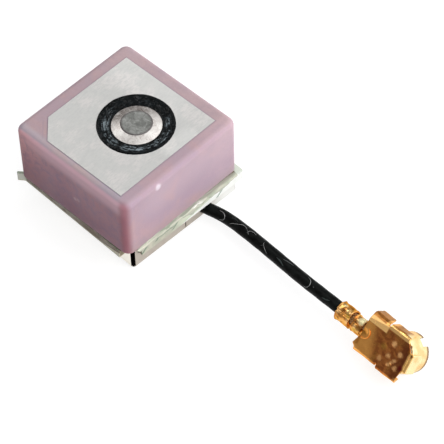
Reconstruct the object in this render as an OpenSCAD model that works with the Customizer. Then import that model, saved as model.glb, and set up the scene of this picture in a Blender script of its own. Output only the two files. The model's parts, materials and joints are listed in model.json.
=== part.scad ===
// Active satellite-navigation patch antenna: a ceramic block with printed silver on a small
// amplifier board, a folded shield can beneath it, and a short coaxial lead with a push-on plug.
// The can stands on z = 0, +Z points out of the antenna face, and the lead leaves the +X side.

/* [Ceramic block] */
// Side of the square ceramic block
patch_side = 10; // [9.6:0.1:10.4]
// Height of the ceramic block
patch_h = 4.7; // [3.5:0.1:6]
// Radius of the long top edges
patch_edge_r = 0.42; // [0.25:0.01:0.48]
// Radius of the upright corners, larger than the radius of the top edges
patch_corner_r = 0.55; // [0.5:0.05:0.7]
// Turn of the block on its board, in degrees, from being placed by hand
patch_turn = 1.8; // [0:0.1:2.5]
// Shift of the block along X, from being placed by hand
patch_shift_x = -0.04; // [-0.06:0.01:0.06]
// Shift of the block along Y, from being placed by hand
patch_shift_y = -0.1; // [-0.15:0.05:0.15]

/* [Silver print] */
// Thickness of the fired silver print
silver_t = 0.03; // [0.02:0.01:0.06]
// Length of the top print along X
print_x = 7.95; // [7.5:0.05:8.3]
// Length of the top print along Y
print_y = 8.4; // [7.9:0.1:8.8]
// Leg of the cut corner that sets the sense of polarisation
print_cut = 1.4; // [1:0.05:2]
// Offset of the top print from the middle of the block along X
print_offset_x = 0.05; // [-0.1:0.01:0.1]
// Offset of the top print from the middle of the block along Y
print_offset_y = -0.22; // [-0.3:0.02:0]
// Bare rim of ceramic round the ground print
ground_margin = 0.3; // [0.1:0.1:0.6]
// Bare circle in the ground print round the feed pin
ground_clear_d = 2.4; // [1.8:0.1:3]

/* [Feed] */
// Feed point along X from the middle of the block
feed_x = 0.68; // [0.4:0.02:0.9]
// Feed point along Y from the middle of the block
feed_y = 0.32; // [0.2:0.02:0.6]
// Outer diameter of the black insulating ring
ring_d = 5.04; // [4.6:0.02:5.4]
// Diameter of the silver land inside the ring
land_d = 3.3; // [3:0.05:3.8]
// How far the ring's middle lies from the pin along X
ring_shift_x = -0.1; // [-0.16:0.02:0.16]
// How far the ring's middle lies from the pin along Y
ring_shift_y = 0.04; // [-0.16:0.02:0.16]
// Rise of the ring above the ceramic
ring_rise = 0.09; // [0.06:0.01:0.14]
// Diameter of the pin's flat head
pin_head_d = 2.1; // [1.8:0.05:2.4]
// Height of the pin's head above the silver land
pin_head_h = 0.26; // [0.2:0.02:0.4]
// Diameter of the pin's shaft
pin_d = 0.8; // [0.6:0.05:1]
// Length of the pin below the board
pin_below = 0.35; // [0.25:0.05:0.5]
// Gap round the pin in the ceramic and the board
pin_clear = 0.1; // [0.05:0.01:0.15]

/* [Board] */
// Length of the circuit board along X
board_x = 10.12; // [10:0.02:10.3]
// Length of the circuit board along Y
board_y = 10.22; // [10:0.02:10.4]
// Thickness of the circuit board
board_t = 0.7; // [0.5:0.1:1]
// Corner radius of the circuit board
board_r = 0.15; // [0.1:0.05:0.5]
// Length along X of the board's notched corner, where the can's walls stand up
notch_x = 0.9; // [0.8:0.05:1]
// Length along Y of the board's notched corner
notch_y = 1.15; // [1.05:0.05:1.25]
// Offset of the board's middle along X
board_offset_x = 0.09; // [0:0.01:0.1]
// Offset of the board's middle along Y
board_offset_y = 0.11; // [0:0.01:0.12]
// Thickness of the adhesive under the ceramic
glue_t = 0.1; // [0.06:0.02:0.16]
// Height of the squeezed-out adhesive on the cable side
bead_h = 0.16; // [0.14:0.01:0.3]
// Reach of the squeezed-out adhesive past the ceramic
bead_w = 0.26; // [0.2:0.02:0.34]
// Thickness of the tinned copper on the underside
tin_t = 0.03; // [0.02:0.01:0.05]
// Width of the tinned ground rim that the can is soldered to
rim_w = 0.5; // [0.3:0.05:0.6]

/* [Shield can] */
// Outer side of the folded can
can_side = 9.32; // [9:0.02:9.5]
// Height of the can, from the resting face to the ground rim
can_h = 1.27; // [1.1:0.01:1.5]
// Sheet thickness of the can
can_t = 0.15; // [0.1:0.01:0.18]
// Outside bend radius of the can's bottom edges
can_bend_r = 0.22; // [0.2:0.02:0.35]
// Offset of the can's middle along X
can_offset_x = 0.16; // [0:0.02:0.2]
// Offset of the can's middle along Y
can_offset_y = 0.27; // [0:0.01:0.3]
// Width of the open slot at each upright corner
corner_slot_w = 0.3; // [0.2:0.02:0.4]
// Rise of the two wall ends that stand up in the board's notch
ear_h = 0.5; // [0.3:0.05:0.6]
// Gap between these wall ends and the notch
ear_clear = 0.08; // [0.05:0.01:0.1]
// Height of the closed corner below the slot
corner_slot_z = 0.2; // [0.16:0.02:0.3]
// Width of the relief slit in the cable-side wall
slit_w = 0.08; // [0.06:0.01:0.12]
// Place of the relief slit along Y
slit_y = -0.04; // [-0.4:0.02:0.2]
// Length of one solder tack along the rim
tack_l = 1.2; // [0.8:0.1:1.4]
// Leg of the solder tack fillet
tack_r = 0.16; // [0.1:0.02:0.2]

/* [Parts under the can] */
// Size of the amplifier chip along X and Y
amp_side = 1.5; // [1.2:0.1:1.6]
// Height of the amplifier chip
amp_h = 0.5; // [0.4:0.05:0.6]
// Length of the filter
saw_l = 1.4; // [1.1:0.1:1.6]
// Width of the filter
saw_w = 1.1; // [0.9:0.1:1.2]
// Height of the filter
saw_h = 0.45; // [0.35:0.05:0.6]
// Length of a chip capacitor, inductor or resistor
chip_l = 1; // [0.8:0.1:1.1]
// Width of a chip capacitor, inductor or resistor
chip_w = 0.5; // [0.4:0.05:0.6]
// Height of a chip capacitor
cap_h = 0.5; // [0.4:0.05:0.6]
// Height of a chip inductor
coil_h = 0.55; // [0.4:0.05:0.6]
// Height of a chip resistor
res_h = 0.35; // [0.3:0.05:0.4]
// Length of the metal end of a chip
chip_end = 0.22; // [0.15:0.01:0.3]

/* [Cable] */
// Outer diameter of the cable jacket
cable_d = 0.83; // [0.7:0.01:0.84]
// Diameter over the braid
braid_d = 0.62; // [0.5:0.01:0.66]
// Diameter of the dielectric
dielectric_d = 0.4; // [0.3:0.01:0.44]
// Diameter of the inner conductor
core_d = 0.16; // [0.1:0.01:0.2]
// Length of bare braid on the board
bare_braid = 0.95; // [0.7:0.05:1.1]
// Length of bare dielectric on the board
bare_dielectric = 0.5; // [0.3:0.05:0.6]
// Gap round the cable in the can's wall
notch_clear = 0.07; // [0.04:0.01:0.1]

/* [Plug] */
// Sheet thickness of the plug's shell
sheet_t = 0.12; // [0.08:0.01:0.14]
// Outer diameter of the mating ring
mate_d = 2.6; // [2.5:0.02:2.64]
// Outer diameter of the cup above the mating ring
cup_d = 2.68; // [2.66:0.02:2.8]
// Depth of the mating ring's rim below the cable's axis
mate_depth = 1.5; // [1.3:0.05:1.5]
// Height of the slots in the mating ring, from its rim up
ring_slot_h = 0.62; // [0.5:0.02:0.62]
// Width of the wide slot in the mating ring
ring_slot_w = 0.6; // [0.4:0.05:0.7]
// Turn of the wide slot from the nose round the mating ring, in degrees
ring_slot_turn = 62; // [56:1:68]
// Depth of the cup's shoulder below the cable's axis
cup_depth = 0.8; // [0.7:0.05:0.9]
// Height of the lid's face above the cable's axis
lid_z = 0.6; // [0.58:0.02:0.7]
// Width over the folded flaps of the lid
lid_w = 2.9; // [2.86:0.02:3.1]
// Reach of the lid behind the mating ring's axis
lid_rear = 2.5; // [2.3:0.05:2.5]
// Reach of the neck in front of the mating ring's axis
neck_front = 1.46; // [1.42:0.02:1.6]
// Width of the neck that the lid folds over on
neck_w = 1.3; // [1.1:0.1:1.4]
// Depth of the folded flaps
flap_drop = 0.95; // [0.7:0.05:1]
// Outside bend radius of the folded sheet
fold_r = 0.22; // [0.18:0.02:0.26]
// Width of the gap between two flaps
flap_gap = 0.1; // [0.06:0.02:0.16]
// Flare of the near front flap past the others
flap_flare = 0.14; // [0:0.01:0.16]
// Length of the jacket crimp
jacket_crimp_l = 1.15; // [1:0.05:1.3]
// Length of the braid crimp
braid_crimp_l = 0.8; // [0.6:0.05:0.85]
// Gap between the two crimps
crimp_gap = 0.2; // [0.15:0.05:0.25]
// Offset of the crimp's folded wing to the near side
crimp_wing = 0.16; // [0.1:0.02:0.2]
// Gap between a crimp and what it holds
crimp_clear = 0.015; // [0.01:0.005:0.03]
// Gap between the plug's shell, its insulator and its contact
plug_clear = 0.02; // [0.01:0.01:0.03]
// Outer diameter of the spring contact
contact_d = 0.76; // [0.7:0.02:0.8]
// Turn of the plug about its cable, in degrees
plug_roll = 50; // [50:1:56]

/* [Hidden] */
$fn = 64;

// Allowance that carries a cut clear through a face
cut = 0.05;

// Levels of the stack, from the resting face up
board_z = can_h + tin_t;
glue_z = board_z + board_t;
patch_z = glue_z + glue_t;
block_z = patch_z + silver_t;
face_z = block_z + patch_h;
land_z = face_z + silver_t;

// Silver colour and the other shared colours
silver_c = [0.80, 0.79, 0.78];
tin_c = [0.78, 0.76, 0.69];
gold_c = [0.85, 0.62, 0.28];
chip_c = [0.62, 0.52, 0.42];

// Places of the small parts on the underside: X and Y as shares of the can's side, turn in degrees
cap_places = [[-0.333, 0.311, 0], [-0.15, 0.333, 0], [0.064, 0.322, 0], [-0.054, -0.311, 0],
    [0.322, -0.268, 90]];
coil_places = [[-0.343, 0.032, 90], [-0.064, -0.15, 90]];
res_places = [[0.161, -0.311, 0], [0.268, -0.086, 90]];
amp_place = can_side * [-0.247, -0.15];
saw_place = can_side * [-0.172, 0.15];

// Solder tacks between the can and its rim: side of the can in degrees, place as a share of it
tack_places = [[0, -0.333], [0, -0.129], [0, 0.376], [90, -0.279], [90, 0.258], [180, -0.268],
    [180, 0.279], [270, -0.258], [270, 0.268]];

// Route of the cable's axis, from the stripped end on the board to the end inside the crimp
route = [[4.15, 1.95, 0.76], [4.95, 2.02, 0.75], [5.7, 2.19, 0.78], [6.8, 2.32, 0.84],
    [8.2, 2.32, 0.92], [9.7, 2.25, 1.01], [11.2, 2.15, 1.1], [12.7, 2.05, 1.2],
    [14.2, 1.97, 1.3], [15.7, 1.9, 1.42], [17.05, 1.844, 1.54], [18.2, 1.8, 1.64]];
jacket_sides = 8;
last = len(route) - 1;

// Direction of the cable at its two ends
inward = unit(route[0] - route[1]);
outward = unit(route[last] - route[last - 1]);
plug_yaw = atan2(outward[1], outward[0]);
plug_pitch = asin(outward[2]);

// The jacket ends just inside the front of its crimp, and the plug is placed from there
crimp_r = cable_d / 2 + crimp_clear + sheet_t;
braid_crimp_r = braid_d / 2 + crimp_clear + sheet_t;
throat_l = 0.3;
braid_crimp_u = -lid_rear - throat_l;
jacket_crimp_u = braid_crimp_u - braid_crimp_l - crimp_gap;
jacket_end_u = jacket_crimp_u - crimp_gap / 2;
plug_origin = route[last] - jacket_end_u * outward;
core_end_u = 0.25;
dielectric_end_u = -0.45;
braid_end_u = braid_crimp_u + 0.1;

// Inner sizes of the plug
lid_under = lid_z - sheet_t;
cup_r = cup_d / 2;
cup_bore_r = cup_r - sheet_t;
mate_bore_r = mate_d / 2 - sheet_t;
flap_z = lid_z - flap_drop;
insulator_r = cup_bore_r - plug_clear;
contact_r = contact_d / 2;
cup_rim_z = lid_under - 0.1;

// Point at the foot of the inner core, on the output pad under the board
braid_foot = route[0] + bare_braid * inward;
core_root = braid_foot + bare_dielectric * inward;
core_foot = [core_root[0] - 0.45, core_root[1], can_h - core_d / 2 - 0.04];

function unit(v) = v / norm(v);

// Tangent of the route at point i
function tangent(i) = unit(route[min(i + 1, last)] - route[max(i - 1, 0)]);

// One ring of jacket points, square to the route at point i
function jacket_ring(i) =
    let (t = tangent(i), side = unit(cross(t, [0, 0, 1])), top = cross(side, t))
    [for (k = [0:jacket_sides - 1])
        route[i] + cable_d / 2 * (cos(360 * (k + 0.5) / jacket_sides) * side
            + sin(360 * (k + 0.5) / jacket_sides) * top)];

module rounded_rect(x, y, r) {
    square([x - 2 * r, y], center = true);
    square([x, y - 2 * r], center = true);
    for (sx = [-1, 1], sy = [-1, 1])
        translate([sx * (x / 2 - r), sy * (y / 2 - r)]) circle(r);
}

// Upright profile of a block whose top edges have radius r
module arched(x, h, r) {
    translate([-x / 2, 0]) square([x, h - r]);
    translate([r - x / 2, 0]) square([x - 2 * r, h]);
    for (s = [-1, 1]) translate([s * (x / 2 - r), h - r]) circle(r);
}

// Block with rounded upright corners and rounded top edges, standing on its base
module soft_block(side, h, corner_r, edge_r) {
    straight = side - 2 * corner_r;
    for (a = [0, 90]) rotate([90, 0, a]) linear_extrude(straight, center = true)
        arched(side, h, edge_r);
    for (sx = [-1, 1], sy = [-1, 1])
        translate([sx * straight / 2, sy * straight / 2, 0]) rotate_extrude() {
            square([corner_r - edge_r, h]);
            square([corner_r, h - edge_r]);
            intersection() {
                translate([corner_r - edge_r, h - edge_r]) circle(edge_r);
                translate([corner_r - edge_r, h - edge_r]) square(edge_r);
            }
        }
}

// Frame of the hand-placed block
module on_patch() {
    translate([patch_shift_x, patch_shift_y, 0]) rotate(patch_turn) children();
}

// Axis of the feed pin
module at_feed() {
    on_patch() translate([feed_x, feed_y, 0]) children();
}

// Middle of the insulating ring, which lies a little to one side of the pin
module at_ring() {
    at_feed() translate([ring_shift_x, ring_shift_y, 0]) children();
}

module tube(r_out, r_in, h) {
    difference() {
        cylinder(h = h, r = r_out);
        translate([0, 0, -cut]) cylinder(h = h + 2 * cut, r = r_in);
    }
}

// Places children with their Z axis running from point a towards point b
module along(a, b) {
    v = b - a;
    translate(a) rotate([0, acos(v[2] / norm(v)), atan2(v[1], v[0])]) children();
}

// Frame of the plug: +X to its nose, +Z out of its lid, origin where the cable meets the ring
module on_plug() {
    translate(plug_origin) rotate([plug_roll, -plug_pitch, plug_yaw]) children();
}

// Cylinder along the plug's X axis
module plug_bar(u0, u1, r) {
    translate([u0, 0, 0]) rotate([0, 90, 0]) cylinder(h = u1 - u0, r = r);
}

module ceramic_block() {
    color([0.74, 0.64, 0.68])
    difference() {
        on_patch() translate([0, 0, block_z])
            soft_block(patch_side, patch_h, patch_corner_r, patch_edge_r);
        at_feed() translate([0, 0, block_z - cut])
            cylinder(h = patch_h + 2 * cut, r = pin_d / 2 + pin_clear);
    }
}

module cut_corner_print() {
    difference() {
        square([print_x, print_y], center = true);
        translate([-print_x / 2, -print_y / 2]) rotate(45)
            square(print_cut * sqrt(2), center = true);
    }
}

module top_electrode() {
    color(silver_c)
    difference() {
        on_patch() translate([print_offset_x, print_offset_y, face_z])
            linear_extrude(silver_t) cut_corner_print();
        at_ring() translate([0, 0, face_z - cut]) cylinder(h = silver_t + 2 * cut, r = ring_d / 2);
    }
}

module feed_land() {
    color(silver_c)
    at_feed() translate([0, 0, face_z]) tube(land_d / 2, pin_d / 2 + pin_clear, silver_t);
}

// Resin fills the gap between the land and the patch, with sloping edges
module insulating_ring() {
    slope_w = 0.16;
    edge_h = 0.02;
    outer_r = ring_d / 2;
    inner_r = land_d / 2;
    lean = slope_w / ring_rise;
    color([0.05, 0.05, 0.06])
    difference() {
        at_ring() translate([0, 0, face_z]) rotate_extrude()
            polygon([[0, 0], [outer_r, 0], [outer_r, edge_h], [outer_r - slope_w, ring_rise],
                [0, ring_rise]]);
        at_feed() translate([0, 0, face_z - cut]) cylinder(h = ring_rise + 2 * cut,
            r1 = inner_r - lean * cut, r2 = inner_r + lean * (ring_rise + cut));
    }
}

module ground_electrode() {
    color(silver_c)
    difference() {
        on_patch() translate([0, 0, patch_z]) linear_extrude(silver_t)
            square(patch_side - 2 * ground_margin, center = true);
        at_feed() translate([0, 0, patch_z - cut])
            cylinder(h = silver_t + 2 * cut, r = ground_clear_d / 2);
    }
}

module feed_pin() {
    head_break = 0.05;
    head_r = pin_head_d / 2;
    tip_z = board_z - pin_below;
    color([0.62, 0.61, 0.60])
    at_feed() rotate_extrude()
        polygon([[0, tip_z], [pin_d / 2 - head_break, tip_z], [pin_d / 2, tip_z + head_break],
            [pin_d / 2, land_z], [head_r, land_z], [head_r, land_z + pin_head_h - head_break],
            [head_r - head_break, land_z + pin_head_h], [0, land_z + pin_head_h]]);
}

// Bright solder zone that slopes from the rim of the pin's head down to the edge of the land
module pin_top_solder() {
    inner_r = pin_head_d / 2;
    outer_r = land_d / 2 - 0.02;
    top_h = pin_head_h - 0.04;
    foot_h = 0.02;
    span = outer_r * outer_r - inner_r * inner_r;
    centre_z = (top_h * top_h - foot_h * foot_h - span) / (2 * (top_h - foot_h));
    dome_r = sqrt(outer_r * outer_r + (foot_h - centre_z) * (foot_h - centre_z));
    color([0.82, 0.81, 0.79])
    at_feed() translate([0, 0, land_z]) rotate_extrude()
        intersection() {
            translate([inner_r, 0]) square([outer_r - inner_r, top_h]);
            translate([0, centre_z]) circle(dome_r, $fn = 96);
        }
}

// Adhesive under the ceramic, with the bead that was squeezed out on the cable side
module adhesive_pad() {
    inset = 0.15;
    face_x = patch_side / 2;
    bead_len = patch_side - 2 * patch_corner_r - 0.3;
    color([0.85, 0.86, 0.76])
    difference() {
        intersection() {
            on_patch() {
                translate([0, 0, glue_z]) linear_extrude(glue_t)
                    square(patch_side - 2 * inset, center = true);
                translate([0, bead_len / 2, 0]) rotate([90, 0, 0]) linear_extrude(bead_len)
                    polygon([[face_x - 2 * inset, glue_z], [face_x + bead_w, glue_z],
                        [face_x + bead_w - 0.05, glue_z + bead_h * 0.7],
                        [face_x + 0.04, glue_z + bead_h], [face_x + 0.04, patch_z],
                        [face_x - 2 * inset, patch_z]]);
            }
            translate([0, 0, glue_z]) linear_extrude(bead_h) board_plan(0.03);
        }
        at_feed() translate([0, 0, glue_z - cut])
            cylinder(h = glue_t + 2 * cut, r = ground_clear_d / 2);
    }
}

// Outline of the board, drawn in by an inset, with a notch at one corner
module board_plan(inset) {
    translate([board_offset_x, board_offset_y]) difference() {
        rounded_rect(board_x - 2 * inset, board_y - 2 * inset, board_r);
        translate([board_x / 2 - notch_x - inset, -board_y])
            square([board_x, board_y / 2 + notch_y + inset]);
    }
}

// Short spur left at one corner where the board was broken out of its panel
module board_spur() {
    spur_r = 0.09;
    spur_l = 0.42;
    translate([board_offset_x - board_x / 2 + 0.16, board_offset_y - board_y / 2 + 0.06])
        rotate(219) {
            translate([0, -spur_r]) square([spur_l, 2 * spur_r]);
            translate([spur_l, 0]) circle(spur_r);
        }
}

module circuit_board() {
    color([0.30, 0.33, 0.20])
    difference() {
        translate([0, 0, board_z]) linear_extrude(board_t) {
            board_plan(0);
            board_spur();
        }
        at_feed() translate([0, 0, board_z - cut])
            cylinder(h = board_t + 2 * cut, r = pin_d / 2 + pin_clear);
    }
}

module at_can() {
    translate([can_offset_x, can_offset_y, 0]) children();
}

// Tinned copper frame that the can's walls stand on
module ground_rim() {
    inner = can_side - 2 * rim_w;
    color(tin_c)
    translate([0, 0, can_h]) linear_extrude(tin_t)
        intersection() {
            board_plan(0);
            translate([can_offset_x, can_offset_y]) difference() {
                square(can_side, center = true);
                square(inner, center = true);
            }
        }
}

module chip_pads(place, l, w) {
    translate([place[0] * can_side, place[1] * can_side, can_h]) rotate(place[2])
        for (s = [-1, 1])
            translate([s * (l / 2 - chip_end / 2) - (chip_end + 0.1) / 2, -w / 2, 0])
                cube([chip_end + 0.1, w, tin_t]);
}

// Pads under the small parts, the chip, the filter, the braid and the core
module solder_pads() {
    pad_w = 0.3;
    color(tin_c) {
        for (p = concat(cap_places, coil_places, res_places)) chip_pads(p, chip_l, chip_w);
        for (s = [-1, 1], k = [-1, 0, 1]) {
            translate([amp_place[0] + s * (amp_side - pad_w) / 2 - pad_w / 2,
                amp_place[1] + k * amp_side / 3 - pad_w / 2, can_h]) cube([pad_w, pad_w, tin_t]);
            translate([saw_place[0] + k * (saw_l - pad_w) / 2 - pad_w / 2,
                saw_place[1] + s * (saw_w - pad_w) / 2 - pad_w / 2, can_h]) cube([pad_w, pad_w, tin_t]);
        }
        translate([braid_foot[0] - 0.05, braid_foot[1] - 0.5, can_h]) cube([0.75, 1, tin_t]);
        translate([core_foot[0] - 0.3, core_foot[1] - 0.3, can_h]) cube([0.6, 0.6, tin_t]);
    }
}

// Solder cone that joins the pin to its ring on the underside of the board
module pin_solder_joint() {
    wide_r = pin_d / 2 + 0.42;
    drop = pin_below * 0.7;
    color([0.76, 0.76, 0.74])
    at_feed() rotate_extrude()
        polygon([[pin_d / 2, board_z], [wide_r, board_z], [pin_d / 2 + 0.18, board_z - drop * 0.45],
            [pin_d / 2 + 0.04, board_z - drop], [pin_d / 2, board_z - drop]]);
}

// Ends of two of the can's walls, which stand up in the board's notch
module can_ears(outer_r, inner, inner_r) {
    from_x = board_offset_x - can_offset_x + board_x / 2 - notch_x + ear_clear;
    to_y = board_offset_y - can_offset_y - board_y / 2 + notch_y - ear_clear;
    translate([0, 0, can_h / 2]) linear_extrude(can_h / 2 + ear_h)
        intersection() {
            difference() {
                rounded_rect(can_side, can_side, outer_r);
                rounded_rect(inner, inner, inner_r);
            }
            translate([from_x, -can_side]) square([can_side, can_side + to_y]);
        }
}

// Five-sided tray folded from one sheet, with open corners and a round-ended cable notch
module shield_can() {
    inner = can_side - 2 * can_t;
    inner_r = can_bend_r - can_t;
    corner_more = 0.04;
    notch_r = cable_d / 2 + notch_clear;
    exit = route[1];
    color(tin_c)
    difference() {
        at_can() difference() {
            union() {
                translate([0, 0, can_h]) mirror([0, 0, 1])
                    soft_block(can_side, can_h, can_bend_r + corner_more, can_bend_r);
                can_ears(can_bend_r + corner_more, inner, inner_r + corner_more);
            }
            translate([0, 0, can_h + cut]) mirror([0, 0, 1])
                soft_block(inner, can_h + cut - can_t, inner_r + corner_more, inner_r);
            for (a = [0:90:270]) rotate(45 + a)
                translate([can_side * 0.6, -corner_slot_w / 2, corner_slot_z])
                    cube([can_side * 0.2, corner_slot_w, can_h + ear_h]);
            translate([can_side / 2 - 2 * can_t, slit_y, can_bend_r])
                cube([3 * can_t, slit_w, can_h]);
        }
        translate([exit[0] - 4 * can_t, exit[1], exit[2]]) rotate([0, 90, 0])
            cylinder(h = 8 * can_t, r = notch_r);
        translate([exit[0] - 4 * can_t, exit[1] - notch_r, exit[2]])
            cube([8 * can_t, 2 * notch_r, can_h]);
    }
}

// Hollow solder fillet of length l along Y, in the corner between a wall at -X and the board above
module tack(l) {
    rotate([90, 0, 0]) linear_extrude(l, center = true)
        difference() {
            translate([0, -tack_r]) square(tack_r);
            translate([tack_r, -tack_r]) circle(tack_r * 0.86);
        }
}

// Solder tacks between the can's walls and the ground plane of the board
module can_solder() {
    color([0.76, 0.76, 0.74])
    at_can() translate([0, 0, board_z])
        for (t = tack_places) rotate(t[0])
            translate([can_side / 2, t[1] * can_side, 0]) tack(tack_l);
}

module amplifier_chip() {
    lead_w = 0.22;
    lead_t = 0.1;
    color([0.10, 0.10, 0.11])
    translate([amp_place[0], amp_place[1], can_h - amp_h]) {
        translate([-amp_side / 2 + lead_t, -amp_side / 2, 0])
            cube([amp_side - 2 * lead_t, amp_side, amp_h]);
        for (s = [-1, 1], k = [-1, 0, 1])
            translate([s * (amp_side - 2 * lead_t) / 2 - lead_t, k * amp_side / 3 - lead_w / 2,
                amp_h - lead_t]) cube([2 * lead_t, lead_w, lead_t]);
    }
}

module saw_filter() {
    lid_in = 0.08;
    lid_h = 0.1;
    color([0.70, 0.66, 0.52])
    translate([saw_place[0], saw_place[1], can_h - saw_h]) {
        translate([-saw_l / 2, -saw_w / 2, lid_h]) cube([saw_l, saw_w, saw_h - lid_h]);
        translate([lid_in - saw_l / 2, lid_in - saw_w / 2, 0])
            cube([saw_l - 2 * lid_in, saw_w - 2 * lid_in, saw_h]);
    }
}

// Chip with two metal ends that stand slightly proud of its body
module chip(place, h) {
    proud = 0.02;
    translate([place[0] * can_side, place[1] * can_side, can_h - h]) rotate(place[2]) {
        translate([-chip_l / 2 + proud, -chip_w / 2 + proud, proud])
            cube([chip_l - 2 * proud, chip_w - 2 * proud, h - 2 * proud]);
        for (s = [-1, 1])
            translate([s * (chip_l - chip_end) / 2 - chip_end / 2, -chip_w / 2, 0])
                cube([chip_end, chip_w, h]);
    }
}

module chip_capacitors() {
    color(chip_c) for (p = cap_places) chip(p, cap_h);
}

module chip_inductors() {
    color([0.35, 0.38, 0.36]) for (p = coil_places) chip(p, coil_h);
}

module chip_resistors() {
    color([0.12, 0.12, 0.13]) for (p = res_places) chip(p, res_h);
}

// Jacket swept along the route
module cable_jacket() {
    n = jacket_sides;
    color([0.06, 0.06, 0.06])
    polyhedron(
        points = [for (i = [0:last]) each jacket_ring(i)],
        faces = concat(
            [[for (k = [0:n - 1]) k]],
            [[for (k = [0:n - 1]) last * n + n - 1 - k]],
            [for (i = [0:last - 1], k = [0:n - 1])
                [i * n + k, (i + 1) * n + k, (i + 1) * n + (k + 1) % n, i * n + (k + 1) % n]]));
}

module braid_stub() {
    along(route[0], braid_foot) cylinder(h = bare_braid, r = braid_d / 2);
}

module cable_braid() {
    color([0.72, 0.68, 0.60]) {
        braid_stub();
        on_plug() plug_bar(jacket_end_u, braid_end_u, braid_d / 2);
    }
}

module cable_dielectric() {
    color([0.90, 0.89, 0.86]) {
        along(braid_foot, core_root) cylinder(h = bare_dielectric, r = dielectric_d / 2);
        on_plug() plug_bar(braid_end_u, dielectric_end_u, dielectric_d / 2);
    }
}

module core_stub() {
    along(core_root, core_foot) cylinder(h = norm(core_foot - core_root), r = core_d / 2);
}

module cable_core() {
    color([0.80, 0.72, 0.55]) {
        difference() {
            union() {
                core_stub();
                translate(core_foot) sphere(core_d / 2);
                translate(core_root) sphere(core_d / 2);
            }
            along(core_root, braid_foot) cylinder(h = bare_dielectric, r = dielectric_d / 2);
        }
        on_plug() plug_bar(dielectric_end_u, core_end_u, core_d / 2);
    }
}

// Solder saddle that joins the braid to its pad
module braid_solder() {
    saddle_l = bare_braid - 0.35;
    color([0.76, 0.76, 0.74])
    difference() {
        intersection() {
            along(braid_foot + 0.1 * unit(route[0] - braid_foot), route[0])
                cylinder(h = saddle_l, r = braid_d / 2 + 0.16);
            translate([braid_foot[0], braid_foot[1] - 0.6, braid_foot[2] - braid_d / 4])
                cube([bare_braid, 1.2, can_h - braid_foot[2] + braid_d / 4]);
        }
        braid_stub();
    }
    color([0.76, 0.76, 0.74])
    difference() {
        translate([braid_foot[0] + 0.15, braid_foot[1] - 0.3, braid_foot[2]])
            cube([saddle_l - 0.1, 0.6, can_h - braid_foot[2]]);
        braid_stub();
    }
}

// Solder cap on the output pad, round the foot of the core
module core_solder() {
    cap_r = 0.26;
    color([0.76, 0.76, 0.74])
    difference() {
        intersection() {
            translate([core_foot[0], core_foot[1], can_h - 0.05]) sphere(cap_r);
            translate([core_foot[0] - 1, core_foot[1] - 1, 0]) cube([2, 2, can_h]);
        }
        core_stub();
        translate(core_foot) sphere(core_d / 2);
    }
}

// Barrel closed round the cable, with a seam groove along its top and flared ends
module crimp(u0, l, r, fold) {
    flare = 0.05;
    flare_l = 0.12;
    translate([u0, 0, 0]) rotate([0, 90, 0])
        difference() {
            for (wing = [0, fold]) translate([0, -wing, 0]) {
                cylinder(h = l, r = r);
                cylinder(h = flare_l, r1 = r + flare, r2 = r);
                translate([0, 0, l - flare_l]) cylinder(h = flare_l, r1 = r, r2 = r + flare);
            }
            translate([0, 0, -cut]) cylinder(h = l + 2 * cut, r = r - sheet_t);
            translate([-r, 0, l / 2]) rotate(45)
                cube([sheet_t * 1.1, sheet_t * 1.1, l + 2 * cut], center = true);
            translate([-r, 0, l / 2]) cube([sheet_t * 4, 0.04, l + 2 * cut], center = true);
        }
}

// Profile of one folded edge: a strip of lid, the bend and the flap, looking along the cable
module fold_profile(half, strip) {
    bend_v = half - fold_r;
    translate([bend_v - strip, lid_under]) square([strip, sheet_t]);
    translate([half - sheet_t, flap_z]) square([sheet_t, flap_drop - fold_r]);
    intersection() {
        translate([bend_v, lid_z - fold_r]) difference() {
            circle(fold_r);
            circle(fold_r - sheet_t);
        }
        translate([bend_v, lid_z - fold_r]) square(fold_r);
    }
}

// Flap folded down on one side of the lid, from u0 to u1 along the cable, with a slanted front
module flap(u0, u1, side, half) {
    slant = 0.3;
    difference() {
        translate([u0, 0, 0]) rotate([90, 0, 90]) linear_extrude(u1 - u0)
            mirror([side < 0 ? 1 : 0, 0]) fold_profile(half, 0.3);
        translate([u1, side * half, flap_z - cut]) rotate([90, 0, 0])
            linear_extrude(4 * fold_r, center = true)
                polygon([[cut, 0], [-slant, 0], [-cut, flap_drop - fold_r], [cut, flap_drop]]);
    }
}

// Plan outline of the flat of the lid, with its corners cut
module lid_plan() {
    edge = lid_w / 2 - fold_r;
    front = neck_front - 0.36;
    polygon([[-lid_rear - 0.12, 0.2 - edge], [0.1 - lid_rear, -edge], [0.95, -edge],
        [front, -neck_w / 2], [front, neck_w / 2], [0.68, edge], [-lid_rear, edge]]);
}

// Lid with two flaps folded down on each side
module lid_sheet() {
    split = -1.03;
    near_split = -0.72;
    half = lid_w / 2;
    pit_r = 0.5;
    pits = [[-0.09, 0.57], [0.53, 0.17], [-0.15, -0.27], [0.44, -0.35], [-0.67, -0.75], [0.2, -0.78]];
    difference() {
        union() {
            translate([0, 0, lid_under]) linear_extrude(sheet_t) lid_plan();
            flap(-lid_rear, split - flap_gap / 2, 1, half);
            flap(split + flap_gap / 2, 0.68, 1, half);
            flap(0.1 - lid_rear, near_split - flap_gap / 2, -1, half);
            flap(near_split + flap_gap / 2, 0.98, -1, half + flap_flare);
        }
        for (p = pits) translate([p[0], p[1], lid_z + pit_r - 0.03]) sphere(pit_r, $fn = 24);
    }
}

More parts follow.
